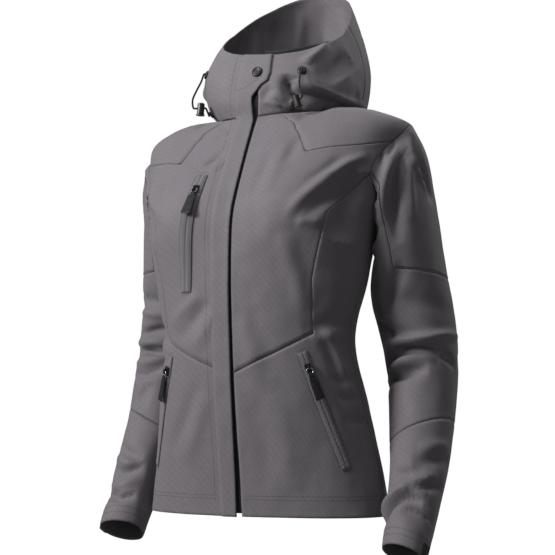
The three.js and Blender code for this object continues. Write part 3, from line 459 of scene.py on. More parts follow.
def softshell(name, rgb):
    """Smooth woven face with a fine melange, puckered beside its seams, with painted shade darkening their
    grooves.
    """
    made, tree, shader, place = material(name, rgb, 0.72, sheen=0.22)
    seam = tree.nodes.new("ShaderNodeAttribute")
    seam.attribute_name = "seam"
    away = seam.outputs["Fac"]
    melange = remap(tree, noise_node(tree, place, 620, 2, 0.7), 0.3, 0.7, 0.92, 1.08)
    twill = tree.nodes.new("ShaderNodeTexWave")
    twill.bands_direction = "DIAGONAL"
    twill.inputs["Scale"].default_value = 62
    twill.inputs["Distortion"].default_value = 1.2
    twill.inputs["Detail"].default_value = 1
    link(tree, place, twill.inputs["Vector"])
    fleck = remap(tree, noise_node(tree, place, 480, 0), 0.76, 0.82, 1.0, 1.35)
    melange = maths(tree, "MULTIPLY", maths(tree, "MULTIPLY", melange, fleck),
                    remap(tree, twill.outputs["Fac"], 0, 1, 0.965, 1.035))
    patches = remap(tree, noise_node(tree, place, 14, 3), 0.3, 0.7, 0.965, 1.035)
    # Painted shade: the base colour darkens towards each seam line, where the groove sinks.
    painted_groove_shade = remap(tree, away, 0.0, 0.7, 0.45, 1.0)
    shade(tree, shader, rgb, maths(tree, "MULTIPLY", maths(tree, "MULTIPLY", melange, patches), painted_groove_shade))
    link(tree, remap(tree, noise_node(tree, place, 40, 3), 0.3, 0.7, 0.66, 0.8), shader.inputs["Roughness"])
    weave = bump(tree, noise_node(tree, place, 1500, 1, 0.4, (1, 1, 0.45)), 0.12, 0.0006)
    weave = bump(tree, twill.outputs["Fac"], 0.12, 0.0005, weave)
    ripple = bump(tree, noise_node(tree, place, 26, 2, 0.45), 0.22, 0.004, weave)
    pucker = noise_node(tree, place, 160, 1, 0.4)
    near = remap(tree, away, 0.0, 9.0, 1.0, 0.0)
    puckered = maths(tree, "MULTIPLY", pucker, near)
    link(tree, bump(tree, puckered, 0.35, 0.0022, ripple), shader.inputs["Normal"])
    return made


def ribbed(name, rgb, scale, axis):
    """Webbing or knit with fine ribs across one axis."""
    made, tree, shader, place = material(name, rgb, 0.88, sheen=0.15)
    wave = tree.nodes.new("ShaderNodeTexWave")
    wave.bands_direction = axis
    wave.inputs["Scale"].default_value = scale
    link(tree, place, wave.inputs["Vector"])
    grain = noise_node(tree, place, 1400, 2)
    shade(tree, shader, rgb, remap(tree, wave.outputs["Fac"], 0, 1, 0.7, 1.25))
    fine = bump(tree, grain, 0.3, 0.0004)
    link(tree, bump(tree, wave.outputs["Fac"], 0.6, 0.0008, fine), shader.inputs["Normal"])
    return made


def moulded(name, rgb, roughness, metallic=0.0, coat=0.0):
    """Moulded or plated surface: a little grain, faint scuffs."""
    made, tree, shader, place = material(name, rgb, roughness, metallic, coat=coat)
    scuff = noise_node(tree, place, 300, 4, 0.6)
    link(tree, remap(tree, scuff, 0.3, 0.7, roughness * 0.8, roughness * 1.25), shader.inputs["Roughness"])
    shade(tree, shader, rgb, remap(tree, noise_node(tree, place, 120, 2), 0.3, 0.7, 0.92, 1.08))
    link(tree, bump(tree, noise_node(tree, place, 2200, 2), 0.12, 0.0003), shader.inputs["Normal"])
    return made


CLOTH_LOOK = softshell("softshell_cloth", (116, 111, 116))
RIB_LOOK = ribbed("black_rib", (30, 29, 31), 520, "DIAGONAL")
TAPE_LOOK = ribbed("zip_tape_grey", (140, 135, 140), 900, "Z")
ZIP_LOOK = ribbed("zip_tape_black", (26, 25, 27), 700, "Z")
METAL_LOOK = moulded("plated_ring", (196, 196, 200), 0.24, metallic=1.0)
DARK_METAL_LOOK = moulded("slider_black", (30, 30, 32), 0.32, metallic=0.4, coat=0.4)
RUBBER_LOOK = moulded("rubber_grip", (27, 26, 28), 0.62)
PLASTIC_LOOK = moulded("black_plastic", (18, 18, 19), 0.42, coat=0.15)
# The dark thread's material also colours the strips of painted shadow along the pocket zips.
THREAD_AND_SHADOW_LOOK = moulded("sewing_thread_dark", (44, 42, 44), 0.7)
CORD_LOOK = ribbed("braided_cord", (24, 23, 25), 900, "DIAGONAL")


# Meshes
def new_object(name, verts, faces, look, smooth_faces=True):
    """A piece from points in millimetres, riding on the jacket."""
    mesh = bpy.data.meshes.new(name)
    mesh.from_pydata((np.asarray(verts) * MM).tolist(), [], [list(map(int, f)) for f in faces])
    mesh.polygons.foreach_set("use_smooth", [smooth_faces] * len(mesh.polygons))
    mesh.materials.append(look)
    made = bpy.data.objects.new(name, mesh)
    bpy.context.collection.objects.link(made)
    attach(made, "jacket")
    return made


def polyline(points, spacing):
    """Points every so often along a smooth line through the given ones."""
    points = np.asarray(points, float)
    ends = np.concatenate([[2 * points[0] - points[1]], points, [2 * points[-1] - points[-2]]])
    out = []
    for i in range(len(points) - 1):
        p0, p1, p2, p3 = ends[i : i + 4]
        n = max(2, int(np.linalg.norm(p2 - p1) / spacing))
        for t in np.linspace(0, 1, n, endpoint=False):
            b = 2 * p0 - 5 * p1 + 4 * p2 - p3
            out.append(0.5 * (2 * p1 + (p2 - p0) * t + b * t * t + (3 * p1 - p0 - 3 * p2 + p3) * t**3))
    return np.array(out + [points[-1]])


# Creases: where each runs, how wide it is, and how deep (a trough is below 0, a ridge above).
# front and back ways are x, z; sleeve ways are angle, row; hood ways are angle, row.
CREASES = [
    ("front", 7, 7, [(98, -177), (108, -159), (134, -128), (159, -98), (184, -77)]),
    ("front", 10, -6, [(116, -178), (138, -156), (159, -132), (176, -106)]),
    ("front", 24, -15, [(178, -104), (169, -137), (163, -174), (157, -210)]),
    ("front", 6, -3.2, [(107, -145), (128, -116), (144, -97), (158, -82)]),
    ("front", 5, 2.4, [(100, -158), (120, -132), (142, -106)]),
    ("front", 9, -3.4, [(78, -99), (84, -68), (90, -48)]),
    ("front", 10, 3, [(64, -137), (66, -97), (72, -60)]),
    ("front", 9, -2.4, [(40, -150), (44, -110), (52, -70)]),
    ("front", 6, 4, [(108, -186), (121, -184), (138, -185)]),
    ("front", 13, 5, [(92, -199), (97, -239), (106, -281), (114, -308)]),
    ("front", 5, -4.5, [(-58, -87), (-43, -78), (-29, -66)]),
    ("front", 6, 3.4, [(-46, -100), (-31, -91), (-22, -80)]),
    ("front", 13, -4.5, [(-126, -108), (-134, -150), (-130, -188)]),
    ("front", 9, 3, [(-108, -100), (-116, -140), (-112, -180)]),
    ("front", 7, 4, [(-120, -165), (-146, -136), (-168, -108)]),
    ("front", 14, -7, [(-132, -190), (-156, -160), (-174, -128)]),
    ("front", 4, -3, [(-27, -26), (-40, -27), (-50, -24)]),
    ("front", 5, -3, [(-27, -38), (-40, -41), (-54, -37)]),
    ("front", 5, 1.8, [(-27, -32), (-40, -34), (-52, -30)]),
    ("front", 10, -4.5, [(84, -12), (98, -6), (116, -4)]),
    ("front", 9, 3.6, [(-41, -278), (-69, -298), (-106, -322)]),
    ("front", 9, -3.8, [(-27, -288), (-57, -319), (-89, -344)]),
    ("front", 10, 3.2, [(-11, -298), (-33, -329), (-59, -359)]),
    ("front", 12, -3.6, [(-54, -405), (-79, -456), (-113, -507)]),
    ("front", 12, 3.2, [(-36, -416), (-58, -470), (-82, -520)]),
    ("front", 14, -2.6, [(40, -300), (58, -350), (70, -400)]),
    ("front", 14, 2.6, [(20, -310), (36, -360), (50, -410)]),
    ("front", 16, -2.8, [(30, -420), (48, -480), (56, -550)]),
    ("front", 16, 2.6, [(66, -420), (80, -480), (88, -560)]),
    ("front", 7, -4, [(121, -336), (134, -362), (145, -409), (157, -456)]),
    ("front", 7, 3.6, [(129, -326), (140, -359), (153, -409), (164, -456)]),
    ("front", 6, -3.2, [(160, -398), (146, -402), (134, -398)]),
    ("front", 6, -3.2, [(166, -424), (152, -427), (142, -422)]),
    ("front", 6, -3, [(171, -456), (160, -459), (150, -453)]),
    ("front", 10, -4, [(150, -312), (128, -326), (106, -336)]),
    ("front", 8, 3, [(152, -328), (134, -340), (116, -350)]),
    ("front", 12, -4, [(-148, -316), (-124, -334), (-98, -346)]),
    ("front", 8, 2.6, [(-152, -334), (-130, -350), (-108, -358)]),
    ("front", 8, -3, [(-152, -356), (-138, -366), (-126, -370)]),
    ("back", 14, -4, [(70, -312), (24, -338), (-26, -336), (-72, -308)]),
    ("back", 12, 3, [(84, -338), (30, -360), (-30, -358), (-80, -336)]),
    ("back", 10, -3, [(92, -362), (44, -378), (6, -380)]),
    ("back", 18, -5, [(168, -120), (130, -160), (100, -214)]),
    ("back", 12, 3, [(150, -100), (112, -140), (84, -196)]),
    ("back", 18, -5, [(-166, -118), (-134, -158), (-96, -210)]),
    ("back", 12, 2.6, [(-150, -98), (-114, -142), (-86, -200)]),
    ("back", 24, -2.4, [(40, -120), (46, -200), (40, -280)]),
    ("back", 26, -2.2, [(-36, -130), (-44, -210), (-36, -284)]),
    ("back", 24, 2, [(80, -430), (92, -500), (96, -570)]),
    ("back", 24, -2, [(20, -440), (26, -500), (24, -570)]),
    ("back", 22, 2, [(-70, -430), (-84, -510), (-90, -570)]),
    ("sleeve_left", 3.5, 5, [(42, 0.2), (32, 1.2), (22, 1.9), (8, 2.5)]),
    ("sleeve_left", 9, -10, [(24, 0.3), (12, 1.4), (-4, 2.6)]),
    ("sleeve_left", 10, -12, [(44, 0.8), (56, 1.4), (66, 2.45), (70, 3.5)]),
    ("sleeve_left", 8, 6, [(66, 0.6), (86, 1.0), (96, 1.9), (94, 2.9)]),
    ("sleeve_left", 7, 4, [(30, 1.2), (40, 2.0), (44, 3.1)]),
    ("sleeve_left", 5, 6, [(116, 1.6), (124, 1.9), (130, 2.3)]),
    ("sleeve_left", 5, -8, [(140, 3.05), (126, 2.95), (108, 2.7)]),
    ("sleeve_left", 5, 5, [(140, 3.4), (126, 3.3), (112, 3.2)]),
    ("sleeve_left", 3, -4, [(66, 0.12), (72, 0.3), (80, 0.5)]),
    ("sleeve_left", 3, -4, [(86, 0.08), (92, 0.26), (98, 0.44)]),
    ("sleeve_left", 10, -10, [(66, 3.9), (90, 4.4), (124, 5.0)]),
    ("sleeve_left", 3.5, -6, [(150, 4.95), (126, 5.35), (106, 5.72)]),
    ("sleeve_left", 6.5, 9, [(150, 5.95), (112, 5.74), (80, 5.72), (52, 5.64), (16, 5.5), (-14, 5.46)]),
    ("sleeve_left", 6, -14,
     [(170, 6.6), (138, 6.26), (106, 6.02), (80, 5.98), (52, 5.98), (24, 6.08), (2, 6.26)]),
    ("sleeve_left", 6, 7, [(160, 6.6), (132, 6.42), (100, 6.28), (70, 6.2), (44, 6.22)]),
    ("sleeve_left", 7, -13, [(176, 6.9), (146, 6.68), (112, 6.64), (84, 6.54), (58, 6.46)]),
    ("sleeve_left", 9, -7, [(84, 8.78), (54, 8.62), (24, 8.44), (-6, 8.32)]),
    ("sleeve_left", 7, 5, [(74, 8.42), (40, 8.22), (4, 8.1)]),
    ("sleeve_left", 6.5, -6, [(126, 9.05), (90, 9.02), (56, 8.9)]),
    ("sleeve_left", 6, -8, [(96, 9.36), (62, 9.26), (28, 9.08), (2, 8.98)]),
    ("sleeve_left", 6, 5, [(90, 9.1), (60, 9.04), (26, 8.84)]),
    ("sleeve_left", 4.5, -14,
     [(200, 10.5), (164, 10.3), (140, 10.06), (120, 9.8), (98, 9.64), (76, 9.6), (50, 9.64)]),
    ("sleeve_left", 6, 9, [(196, 10.1), (160, 9.9), (134, 9.66), (104, 9.38), (76, 9.32), (46, 9.38)]),
    ("sleeve_left", 3.5, -7, [(98, 9.94), (70, 9.88), (42, 9.88), (14, 9.96)]),
    ("sleeve_left", 8, -4, [(290, 5.9), (320, 6.05), (350, 5.98)]),
    ("sleeve_left", 8, -4, [(236, 5.6), (262, 5.7), (286, 5.62)]),
    ("sleeve_left", 9, -4, [(220, 6.5), (250, 6.6), (284, 6.5)]),
    ("sleeve_left", 12, -4, [(300, 0.5), (296, 1.6), (302, 2.8)]),
    ("sleeve_left", 12, -3, [(262, 1.0), (258, 2.0), (262, 3.2)]),
    ("sleeve_left", 7, -3, [(230, 9.7), (262, 9.6), (300, 9.7)]),
    ("sleeve_right", 11, -5.5, [(66, 0.5), (74, 1.5), (80, 2.6)]),
    ("sleeve_right", 10, 3.4, [(48, 0.5), (54, 1.6), (56, 2.9)]),
    ("sleeve_right", 7, -7, [(30, 4.6), (70, 4.7), (104, 4.82)]),
    ("sleeve_right", 6, 5, [(40, 4.95), (76, 5.05), (108, 5.1)]),
    ("sleeve_right", 6, -8, [(40, 5.62), (80, 5.56), (112, 5.46)]),
    ("sleeve_right", 6, 7, [(36, 5.82), (78, 5.88), (118, 5.92)]),
    ("sleeve_right", 4.5, -13, [(26, 6.0), (60, 6.1), (90, 6.14), (122, 6.2)]),
    ("sleeve_right", 7, -7, [(30, 6.62), (78, 6.8), (116, 6.65)]),
    ("sleeve_right", 6, 4, [(34, 6.35), (80, 6.45), (114, 6.4)]),
    ("sleeve_right", 10, -5, [(96, 7.0), (84, 7.4), (76, 7.7)]),
    ("sleeve_right", 7, -7, [(36, 8.5), (78, 8.84), (124, 9.05)]),
    ("sleeve_right", 6, 4.5, [(40, 8.85), (84, 9.1), (124, 9.3)]),
    ("sleeve_right", 6, -8, [(44, 9.2), (92, 9.42), (134, 9.2)]),
    ("sleeve_right", 6, 5.5, [(40, 9.58), (90, 9.82), (134, 9.6)]),
    ("sleeve_right", 5, -12, [(20, 9.8), (60, 10.0), (100, 10.22), (140, 10.12)]),
    ("sleeve_right", 8, -4, [(286, 5.8), (320, 6.0), (352, 5.92)]),
    ("sleeve_right", 9, -4, [(222, 6.4), (250, 6.5), (284, 6.44)]),
    ("sleeve_right", 12, -4, [(300, 0.6), (298, 1.7), (304, 2.9)]),
    ("sleeve_right", 12, -3, [(262, 1.1), (258, 2.2), (264, 3.4)]),
    ("sleeve_right", 7, -3, [(228, 9.6), (262, 9.7), (300, 9.58)]),
    ("hood", 4, 6, [(37, 2.1), (42, 1.85), (48, 1.66), (60, 1.45), (76, 1.34), (96, 1.3), (124, 1.3)]),
    ("hood", 9, -17, [(27, 2.4), (27, 1.9), (29, 1.5), (33, 1.1), (38, 0.7)]),
    ("hood", 9, -14, [(30, 1.5), (38, 1.32), (48, 1.24), (60, 1.14), (70, 1.1)]),
    ("hood", 8, -10, [(60, 1.0), (74, 0.95), (92, 0.92), (116, 0.95)]),
    ("hood", 9, 6, [(44, 0.5), (56, 0.4), (68, 0.44)]),
    ("hood", 7, 8, [(37, 3.0), (43, 3.25), (52, 3.55), (66, 3.88)]),
    ("hood", 18, -13, [(48, 1.9), (56, 2.4), (68, 2.8), (84, 3.0)]),
    ("hood", 4, 2.4, [(60, 1.84), (77, 2.28), (98, 2.56)]),
    ("hood", 5, 3.5, [(91, 2.0), (93, 1.6), (101, 1.36)]),
    ("hood", 7, -5, [(16, 1.75), (13, 1.24), (11, 0.8)]),
    ("hood", 3, -2.4, [(20, 1.0), (26, 0.76), (32, 0.5)]),
    ("hood", 3, 1.8, [(18, 0.8), (25, 0.56), (31, 0.34)]),
    ("hood", 3, -2.2, [(15, 0.62), (22, 0.42), (29, 0.2)]),
    ("hood", 8, 4.6, [(-50, 1.75), (-60, 1.5), (-76, 1.4), (-94, 1.34)]),
    ("hood", 11, -9, [(-52, 1.3), (-60, 1.06), (-76, 0.98), (-94, 0.94)]),
    ("hood", 7, -3.4, [(-26, 3.4), (-30, 2.9), (-28, 2.4)]),
    ("hood", 9, -3.2, [(-56, 2.5), (-70, 2.8), (-86, 2.9)]),
    ("hood", 12, -8, [(128, 1.3), (132, 2.4), (130, 3.7)]),
    ("hood", 11, 5, [(144, 1.0), (146, 2.2), (145, 3.8)]),
    ("hood", 13, -9, [(164, 1.1), (162, 2.4), (164, 3.7)]),
    ("hood", 13, 6, [(184, 0.9), (186, 2.2), (184, 3.8)]),
    ("hood", 12, -10, [(206, 1.2), (208, 2.4), (204, 3.7)]),
    ("hood", 11, 6, [(226, 1.0), (224, 2.3), (226, 3.7)]),
    ("hood", 11, -8, [(244, 1.2), (242, 2.3), (245, 3.6)]),
]


def crease_line(on, way):
    """A crease's way as points on its surface."""
    if on == "front":
        return on_body([on_front(x, z) for x, z in way])[0]
    if on == "back":
        return on_body([(180 - math.degrees(math.asin(x / 190)), float(row_at(z))) for x, z in way])[0]
    if on == "hood":
        return on_hood(way)[0]
    return on_sleeve(1 if on == "sleeve_left" else -1)(way)[0]


CREASE_LINES = [(on, wide, deep, polyline(crease_line(on, way), 3)) for on, wide, deep, way in CREASES]


def creased(points, on):
    """How far each point of a piece stands out or in, from its creases and the cloth's slight unevenness."""
    out = np.zeros(len(points))
    for where, wide, deep, line in CREASE_LINES:
        if where not in on:
            continue
        reach = 2.6 * wide
        near = np.all((points > line.min(0) - reach) & (points < line.max(0) + reach), axis=1)
        if not near.any():
            continue
        apart = np.linalg.norm(points[near][:, None, :] - line[None], axis=2)
        first = apart.argmin(1)
        share = first / (len(line) - 1)
        taper = 1 - np.abs(2 * share - 1) ** 3
        out[near] += deep * taper * np.exp(-((apart.min(1) / wide) ** 2))
    # Slow waves about 46 mm across and 105 mm tall, and finer ones on them.
    for i, (x, y, z) in enumerate(points):
        out[i] += 1.5 * noise.noise(Vector((x / 46, y / 46, z / 105)))
        out[i] += 0.5 * noise.noise(Vector((x / 17 + 9, y / 17, z / 26)))
    return out


def shell(name, grids, on, lift=0.0, thick=CLOTH, look=None, replaces=None):
    """One piece of cloth from grids that share edges: creased, sunk at its seams, as a closed thin wall.

    lift, the height of its face, and thick may be numbers or functions of its points.
    """
    work = bmesh.new()
    for points, normals in grids:
        rows, cols = points.shape[:2]
        verts = [work.verts.new(p) for p in points.reshape(-1, 3)]
        middle = (rows // 2, cols // 2)
        a, b, c = points[middle], points[middle[0], middle[1] + 1], points[middle[0] + 1, middle[1]]
        turn = 1 if np.dot(np.cross(b - a, c - a), normals[middle]) > 0 else -1
        for j in range(rows - 1):
            for i in range(cols - 1):
                k = j * cols + i
                work.faces.new([verts[q] for q in (k, k + 1, k + cols + 1, k + cols)[::turn]])
    bmesh.ops.remove_doubles(work, verts=work.verts, dist=0.12)
    bmesh.ops.dissolve_degenerate(work, edges=work.edges, dist=0.01)
    work.normal_update()
    work.verts.ensure_lookup_table()
    work.verts.index_update()
    base = np.array([v.co for v in work.verts])
    normals = np.array([v.normal for v in work.verts])
    rim = [e for e in work.edges if len(e.link_faces) == 1]
    edge_verts = sorted({v.index for e in rim for v in e.verts})
    tree = kdtree.KDTree(len(edge_verts))
    for i in edge_verts:
        tree.insert(Vector(base[i]), i)
    tree.balance()
    away = np.array([tree.find(Vector(p))[2] for p in base])
    pull = np.zeros_like(base)
    for e in rim:
        halfway = np.array((e.verts[0].co + e.verts[1].co) / 2)
        inside = np.array(e.link_faces[0].calc_center_median()) - halfway
        along_edge = np.array((e.verts[1].co - e.verts[0].co).normalized())
        inside -= along_edge * inside.dot(along_edge)
        for v in e.verts:
            pull[v.index] += inside / max(1e-6, np.linalg.norm(inside))
    length = np.linalg.norm(pull, axis=1)
    pull[length > 0] *= (SEAM_PULL / length[length > 0])[:, None]
    sink = SEAM_SINK * np.exp(-away / SEAM_GROOVE)
    height = lift(base) if callable(lift) else lift
    wall = thick(base)[:, None] if callable(thick) else thick
    outer = base + pull + normals * (height + creased(base, on) - sink)[:, None]
    for v, p in zip(work.verts, outer):
        v.co = p
    work.normal_update()
    inner = outer - np.array([v.normal for v in work.verts]) * wall
    count = len(outer)
    faces = [[v.index for v in f.verts] for f in work.faces]
    faces += [[i + count for i in reversed(f)] for f in faces]
    for e in rim:
        loop = next(l for l in e.link_faces[0].loops if l.edge == e)
        a, b = loop.vert.index, loop.link_loop_next.vert.index
        faces.append([b, a, a + count, b + count])
    area = sum(f.calc_area() for f in work.faces)
    work.free()
    made = new_object(name, np.concatenate([outer, inner]), faces, look or CLOTH_LOOK)
    seam = made.data.attributes.new("seam", "FLOAT", "POINT")
    seam.data.foreach_set("value", np.concatenate([away, away]).astype(np.float32))
    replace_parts(made, replaces or name[: -len("_cloth")])
    made["area_mm2"] = area
    return made


def edge_at(places, shares):
    """Places along an edge that is given by a few of them."""
    places = np.asarray(places, float)
    at = np.linspace(0, 1, len(places))
    return np.stack([np.interp(shares, at, places[:, k]) for k in (0, 1)], -1)


def fill(bottom, top, left, right, s, t):
    """A grid of places inside four edges; bottom and top run the same way, as do left and right."""
    low, high = edge_at(bottom, s), edge_at(top, s)
    near, far = edge_at(left, t), edge_at(right, t)
    s, t = s[None, :, None], t[:, None, None]
    ruled = mix(low[None], high[None], t) + mix(near[:, None], far[:, None], s)
    ends = mix(mix(low[0], low[-1], s), mix(high[0], high[-1], s), t)
    return ruled - ends


def patch(left, right, low, high, columns, rows):
    """A plain grid of places between two angles and two rows."""
    bottom, top = [(left, low), (right, low)], [(left, high), (right, high)]
    sides = [(left, low), (left, high)], [(right, low), (right, high)]
    return fill(bottom, top, *sides, even(1, columns), even(1, rows))


def run(start, end, n):
    return [(mix(start[0], end[0], i / n), mix(start[1], end[1], i / n)) for i in range(n + 1)]


def chain(*runs):
    out = list(runs[0])
    for part in runs[1:]:
        out += list(part)[1:]
    return out


def armhole_run(start, end):
    n = int(round(abs(end - start) / 10))
    return [tuple(armhole(start + (end - start) * i / n)) for i in range(n + 1)]


def mirrored(places, side):
    return np.asarray(places) * np.array([side, 1])


def even(runs, each):
    return np.linspace(0, 1, runs * each + 1)


def across(places):
    return [(360 - a, b) for a, b in places]


# Seams of the body, on the wearer's left; the right side's are the same, mirrored.
seam_top, seam_near, seam_middle, seam_low, seam_end = (on_front(x, z) for x, z in YOKE_SEAM)
NECK_ANGLE = seam_top[0]
yoke_seam = chain(
    run(seam_end, seam_low, 2),
    run(seam_low, seam_middle, 1),
    run(seam_middle, seam_near, 2),
    run(seam_near, (NECK_ANGLE, NECK_ROW), 1),
)
yoke_front = run(seam_end, armhole(YOKE_END), 3)
waist_corner = on_front(*WAIST_CORNER)
princess = [on_front(x, z) for x, z in PRINCESS_SEAM] + [tuple(armhole(PRINCESS_TOP))]
side_seam = run((SIDE_SEAM["hem"], 0), (SIDE_SEAM["armpit"], ARMHOLE["row"] - 1), 14)
waist_row = float(row_at(WAIST_MIDDLE))
front_right = chain(princess, armhole_run(PRINCESS_TOP, YOKE_END))
front_share = [(v - waist_corner[1]) / (armhole(YOKE_END)[1] - waist_corner[1]) for _, v in front_right]
chest_rows = [mix(waist_row, seam_end[1], t) for t in front_share]
split = run((HEM_SPLIT, 0), waist_corner, 8)
back_armhole = armhole_run(180, 270)
back_seam = run(armhole(270), (360 - armhole(270)[0], ARMHOLE["row"]), 12)
back_left = chain(side_seam, back_armhole)
yoke_half = chain(yoke_front, armhole_run(YOKE_END, -90))
yoke_outer = chain(yoke_half, back_seam, across(yoke_half)[::-1])
yoke_inner = [(NECK_ANGLE, NECK_ROW), (360 - NECK_ANGLE, NECK_ROW)]


def opening_x(side, w):
    """How far the cloth's edge stands from the middle: on the left it gapes at the collar."""
    if side < 0:
        return -ZIP["right"]
    reach = GAPE["up"] if w > GAPE["at"] else GAPE["down"]
    return ZIP["left"] + GAPE["by"] * math.exp(-(((w - GAPE["at"]) / reach) ** 2))


def opening_edge(side, rows):
    return [(float(front_angle(opening_x(side, v), v)), float(v)) for v in rows]


def front_panels(side, name):
    """The upper and lower front of one side, each of two grids."""
    waist = run(opening_edge(side, [waist_row])[0], waist_corner, 7)
    chest_line = chain(run(opening_edge(side, [seam_end[1]])[0], seam_end, 4), yoke_front)
    collar_rows = np.linspace(seam_end[1], NECK_ROW, 7)
    chest = fill(waist, chest_line, opening_edge(side, chest_rows), front_right, even(7, 7), even(11, 6))
    collar = fill(
        chest_line[:5],
        run(opening_edge(side, [NECK_ROW])[0], (NECK_ANGLE, NECK_ROW), 4),
        opening_edge(side, collar_rows),
        yoke_seam,
        even(4, 7),
        even(6, 4),
    )
    lower_rows = np.linspace(0, waist_row, 9)
    lower = fill(
        run(opening_edge(side, [0])[0], (HEM_SPLIT, 0), 7),
        waist,
        opening_edge(side, lower_rows),
        split,
        even(7, 5),
        even(8, 8),
    )
    side_body = fill(
        run((HEM_SPLIT, 0), (SIDE_SEAM["hem"], 0), 6),
        armhole_run(PRINCESS_TOP, 180),
        chain(split, princess),
        side_seam,
        even(6, 5),
        even(14, 8),
    )
    for part, grids in (("upper", (chest, collar)), ("lower", (lower, side_body))):
        laid = [on_body(mirrored(grid, side)) for grid in grids]
        made = shell(f"front_{name}_{part}_cloth", laid, ("front",))
        SHEETS[made.name] = made


SHEETS = {}
for side, name in ((1, "left"), (-1, "right")):
    front_panels(side, name)

back_hem = [(SIDE_SEAM["hem"], 0), (360 - SIDE_SEAM["hem"], 0)]
back_grid = fill(back_hem, back_seam, back_left, across(back_left), even(12, 9), even(23, 7))
SHEETS["back_cloth"] = shell("back_cloth", [on_body(back_grid)], ("back", "front"))
yoke_shares = even(len(yoke_outer) - 1, 4)
yoke_grid = fill(yoke_outer, yoke_inner, yoke_seam, across(yoke_seam), yoke_shares, even(6, 5))
SHEETS["yoke_cloth"] = shell("yoke_cloth", [on_body(yoke_grid)], ("back", "front"))


# Sleeves: the angle of the seam behind, and the angles and upper row of the cuff's tab.
BACK_SEAM = 280
CUFF_TAB = {"from": -2, "to": 28, "top": 10.62}


def front_seam(u):
    return 120 - 38 * smooth(u / 3.9) - 2 * np.sin(np.minimum(u / 3.9, 1) * np.pi)


def across_seam(alpha):
    return 4 + 0.15 * np.cos(np.radians(alpha))


def forearm_seam(alpha):
    return 7.79 + 0.41 * np.cos(np.radians(alpha - 160))


def outer_angle(share, u):
    return mix(BACK_SEAM - 360, front_seam(u), share)


def under_angle(share, u):
    return mix(front_seam(u), BACK_SEAM, share)


def root_row(alpha):
    return 0 * alpha


def cuff_row(alpha):
    return CUFF_ROW + 0 * alpha


def sleeve_places(angle_at, columns, rows, low, high):
    """A grid of places on a sleeve between two seams round it."""
    share = np.linspace(0, 1, columns + 1)[None]
    t = np.linspace(0, 1, rows + 1)[:, None]
    u = mix(low(angle_at(share, 2)), high(angle_at(share, 4)), t)
    for _ in range(3):
        alpha = angle_at(share, u)
        u = mix(low(alpha), high(alpha), t)
    return np.stack([angle_at(share, u), u], -1)


SLEEVE_GRIDS = {
    "outer": [(outer_angle, 48, 54, root_row, across_seam)],
    "main": [
        (under_angle, 50, 44, root_row, across_seam),
        (outer_angle, 48, 62, across_seam, forearm_seam),
        (under_angle, 50, 62, across_seam, forearm_seam),
    ],
    "lower": [(outer_angle, 48, 38, forearm_seam, cuff_row), (under_angle, 50, 38, forearm_seam, cuff_row)],
}
for side, name in ((1, "left"), (-1, "right")):
    lay = on_sleeve(side)
    for part, grids in SLEEVE_GRIDS.items():
        laid = [lay(sleeve_places(*grid)) for grid in grids]
        made = shell(f"sleeve_{name}_{part}_cloth", laid, (f"sleeve_{name}",))
        SHEETS[made.name] = made
    tab = patch(CUFF_TAB["from"], CUFF_TAB["to"], CUFF_ROW, CUFF_TAB["top"], 12, 10)
    shell(f"cuff_tab_{name}_webbing", [lay(tab)], (f"sleeve_{name}",), 2.0, 1.6, RIB_LOOK,
          replaces=f"cuff_tab_{name}")

# Hood
for side, name in ((1, "left"), (-1, "right")):
    rows = np.linspace(0, RIM_ROW, 17)
    edge = [(float(hood_angle(opening_x(side, v + NECK_ROW), v)), float(v)) for v in rows]
    seam = [(HOOD_SEAM, v) for v in rows]
    grid = fill([edge[0], seam[0]], [edge[-1], seam[-1]], edge, seam, even(1, 44), even(16, 3))
    SHEETS[f"hood_{name}_cloth"] = shell(f"hood_{name}_cloth", [on_hood(mirrored(grid, side))], ("hood",))
center = patch(HOOD_SEAM, 360 - HOOD_SEAM, 0, RIM_ROW, 90, 56)
SHEETS["hood_center_cloth"] = shell("hood_center_cloth", [on_hood(center)], ("hood",))

FACING = {"from": 8, "to": 76, "low": 3.35, "proud": 6.5}
facing_rows = np.concatenate([np.linspace(FACING["low"], RIM_ROW, 9), [RIM_ROW, RIM_ROW]])
facing_places = np.stack(np.meshgrid(np.linspace(FACING["from"], FACING["to"], 60), facing_rows), -1)
facing_points, facing_normals = on_hood(facing_places)
facing_rise = FACING["proud"] * smooth((FACING["to"] - facing_places[0, :, 0]) / 40)
facing_points[-2, :, 2] += facing_rise / 2
facing_points[-1, :, 2] += facing_rise
shell("hood_facing_rib", [(facing_points, facing_normals)], ("hood",), -3.0, 1.5, RIB_LOOK,
      replaces="hood_facing")

# Storm flap and front zip
TAB_EDGE = table(
    ("w", "x"),
    [(0, 3), (2, 6.2), (4, 7.6), (9.6, 7.4), (11.1, 6),
     (11.42, 11.8), (11.77, 18), (12.02, 27), (12.5, 29), (13.97, 26)],
)
W = np.linspace(0, 13.97, 1500)
W_LENGTH = np.concatenate([[0], np.cumsum(np.linalg.norm(np.diff(on_opening(0, W)[0], axis=0), axis=1))])
flap_rows = np.union1d(np.interp(np.arange(0, W_LENGTH[-1], 3.5), W_LENGTH, W), TAB_EDGE["w"])
flap_edge = np.interp(flap_rows, TAB_EDGE["w"], TAB_EDGE["x"])[:, None]
flap_x = mix(FLAP["seam"], flap_edge, np.linspace(0, 1, 13)[None])
FLAP_SEAM = on_opening(np.full(len(flap_rows), FLAP["seam"]), flap_rows)[0]


def from_flap_seam(points):
    return np.linalg.norm(points[:, None] - FLAP_SEAM[None], axis=2).min(1)


def flap_height(points):
    return mix(0.7, FLAP["lift"] + FLAP["thick"], smooth(from_flap_seam(points) / 7))


def flap_thickness(points):
    return mix(0.6, FLAP["thick"], smooth(from_flap_seam(points) / 7))


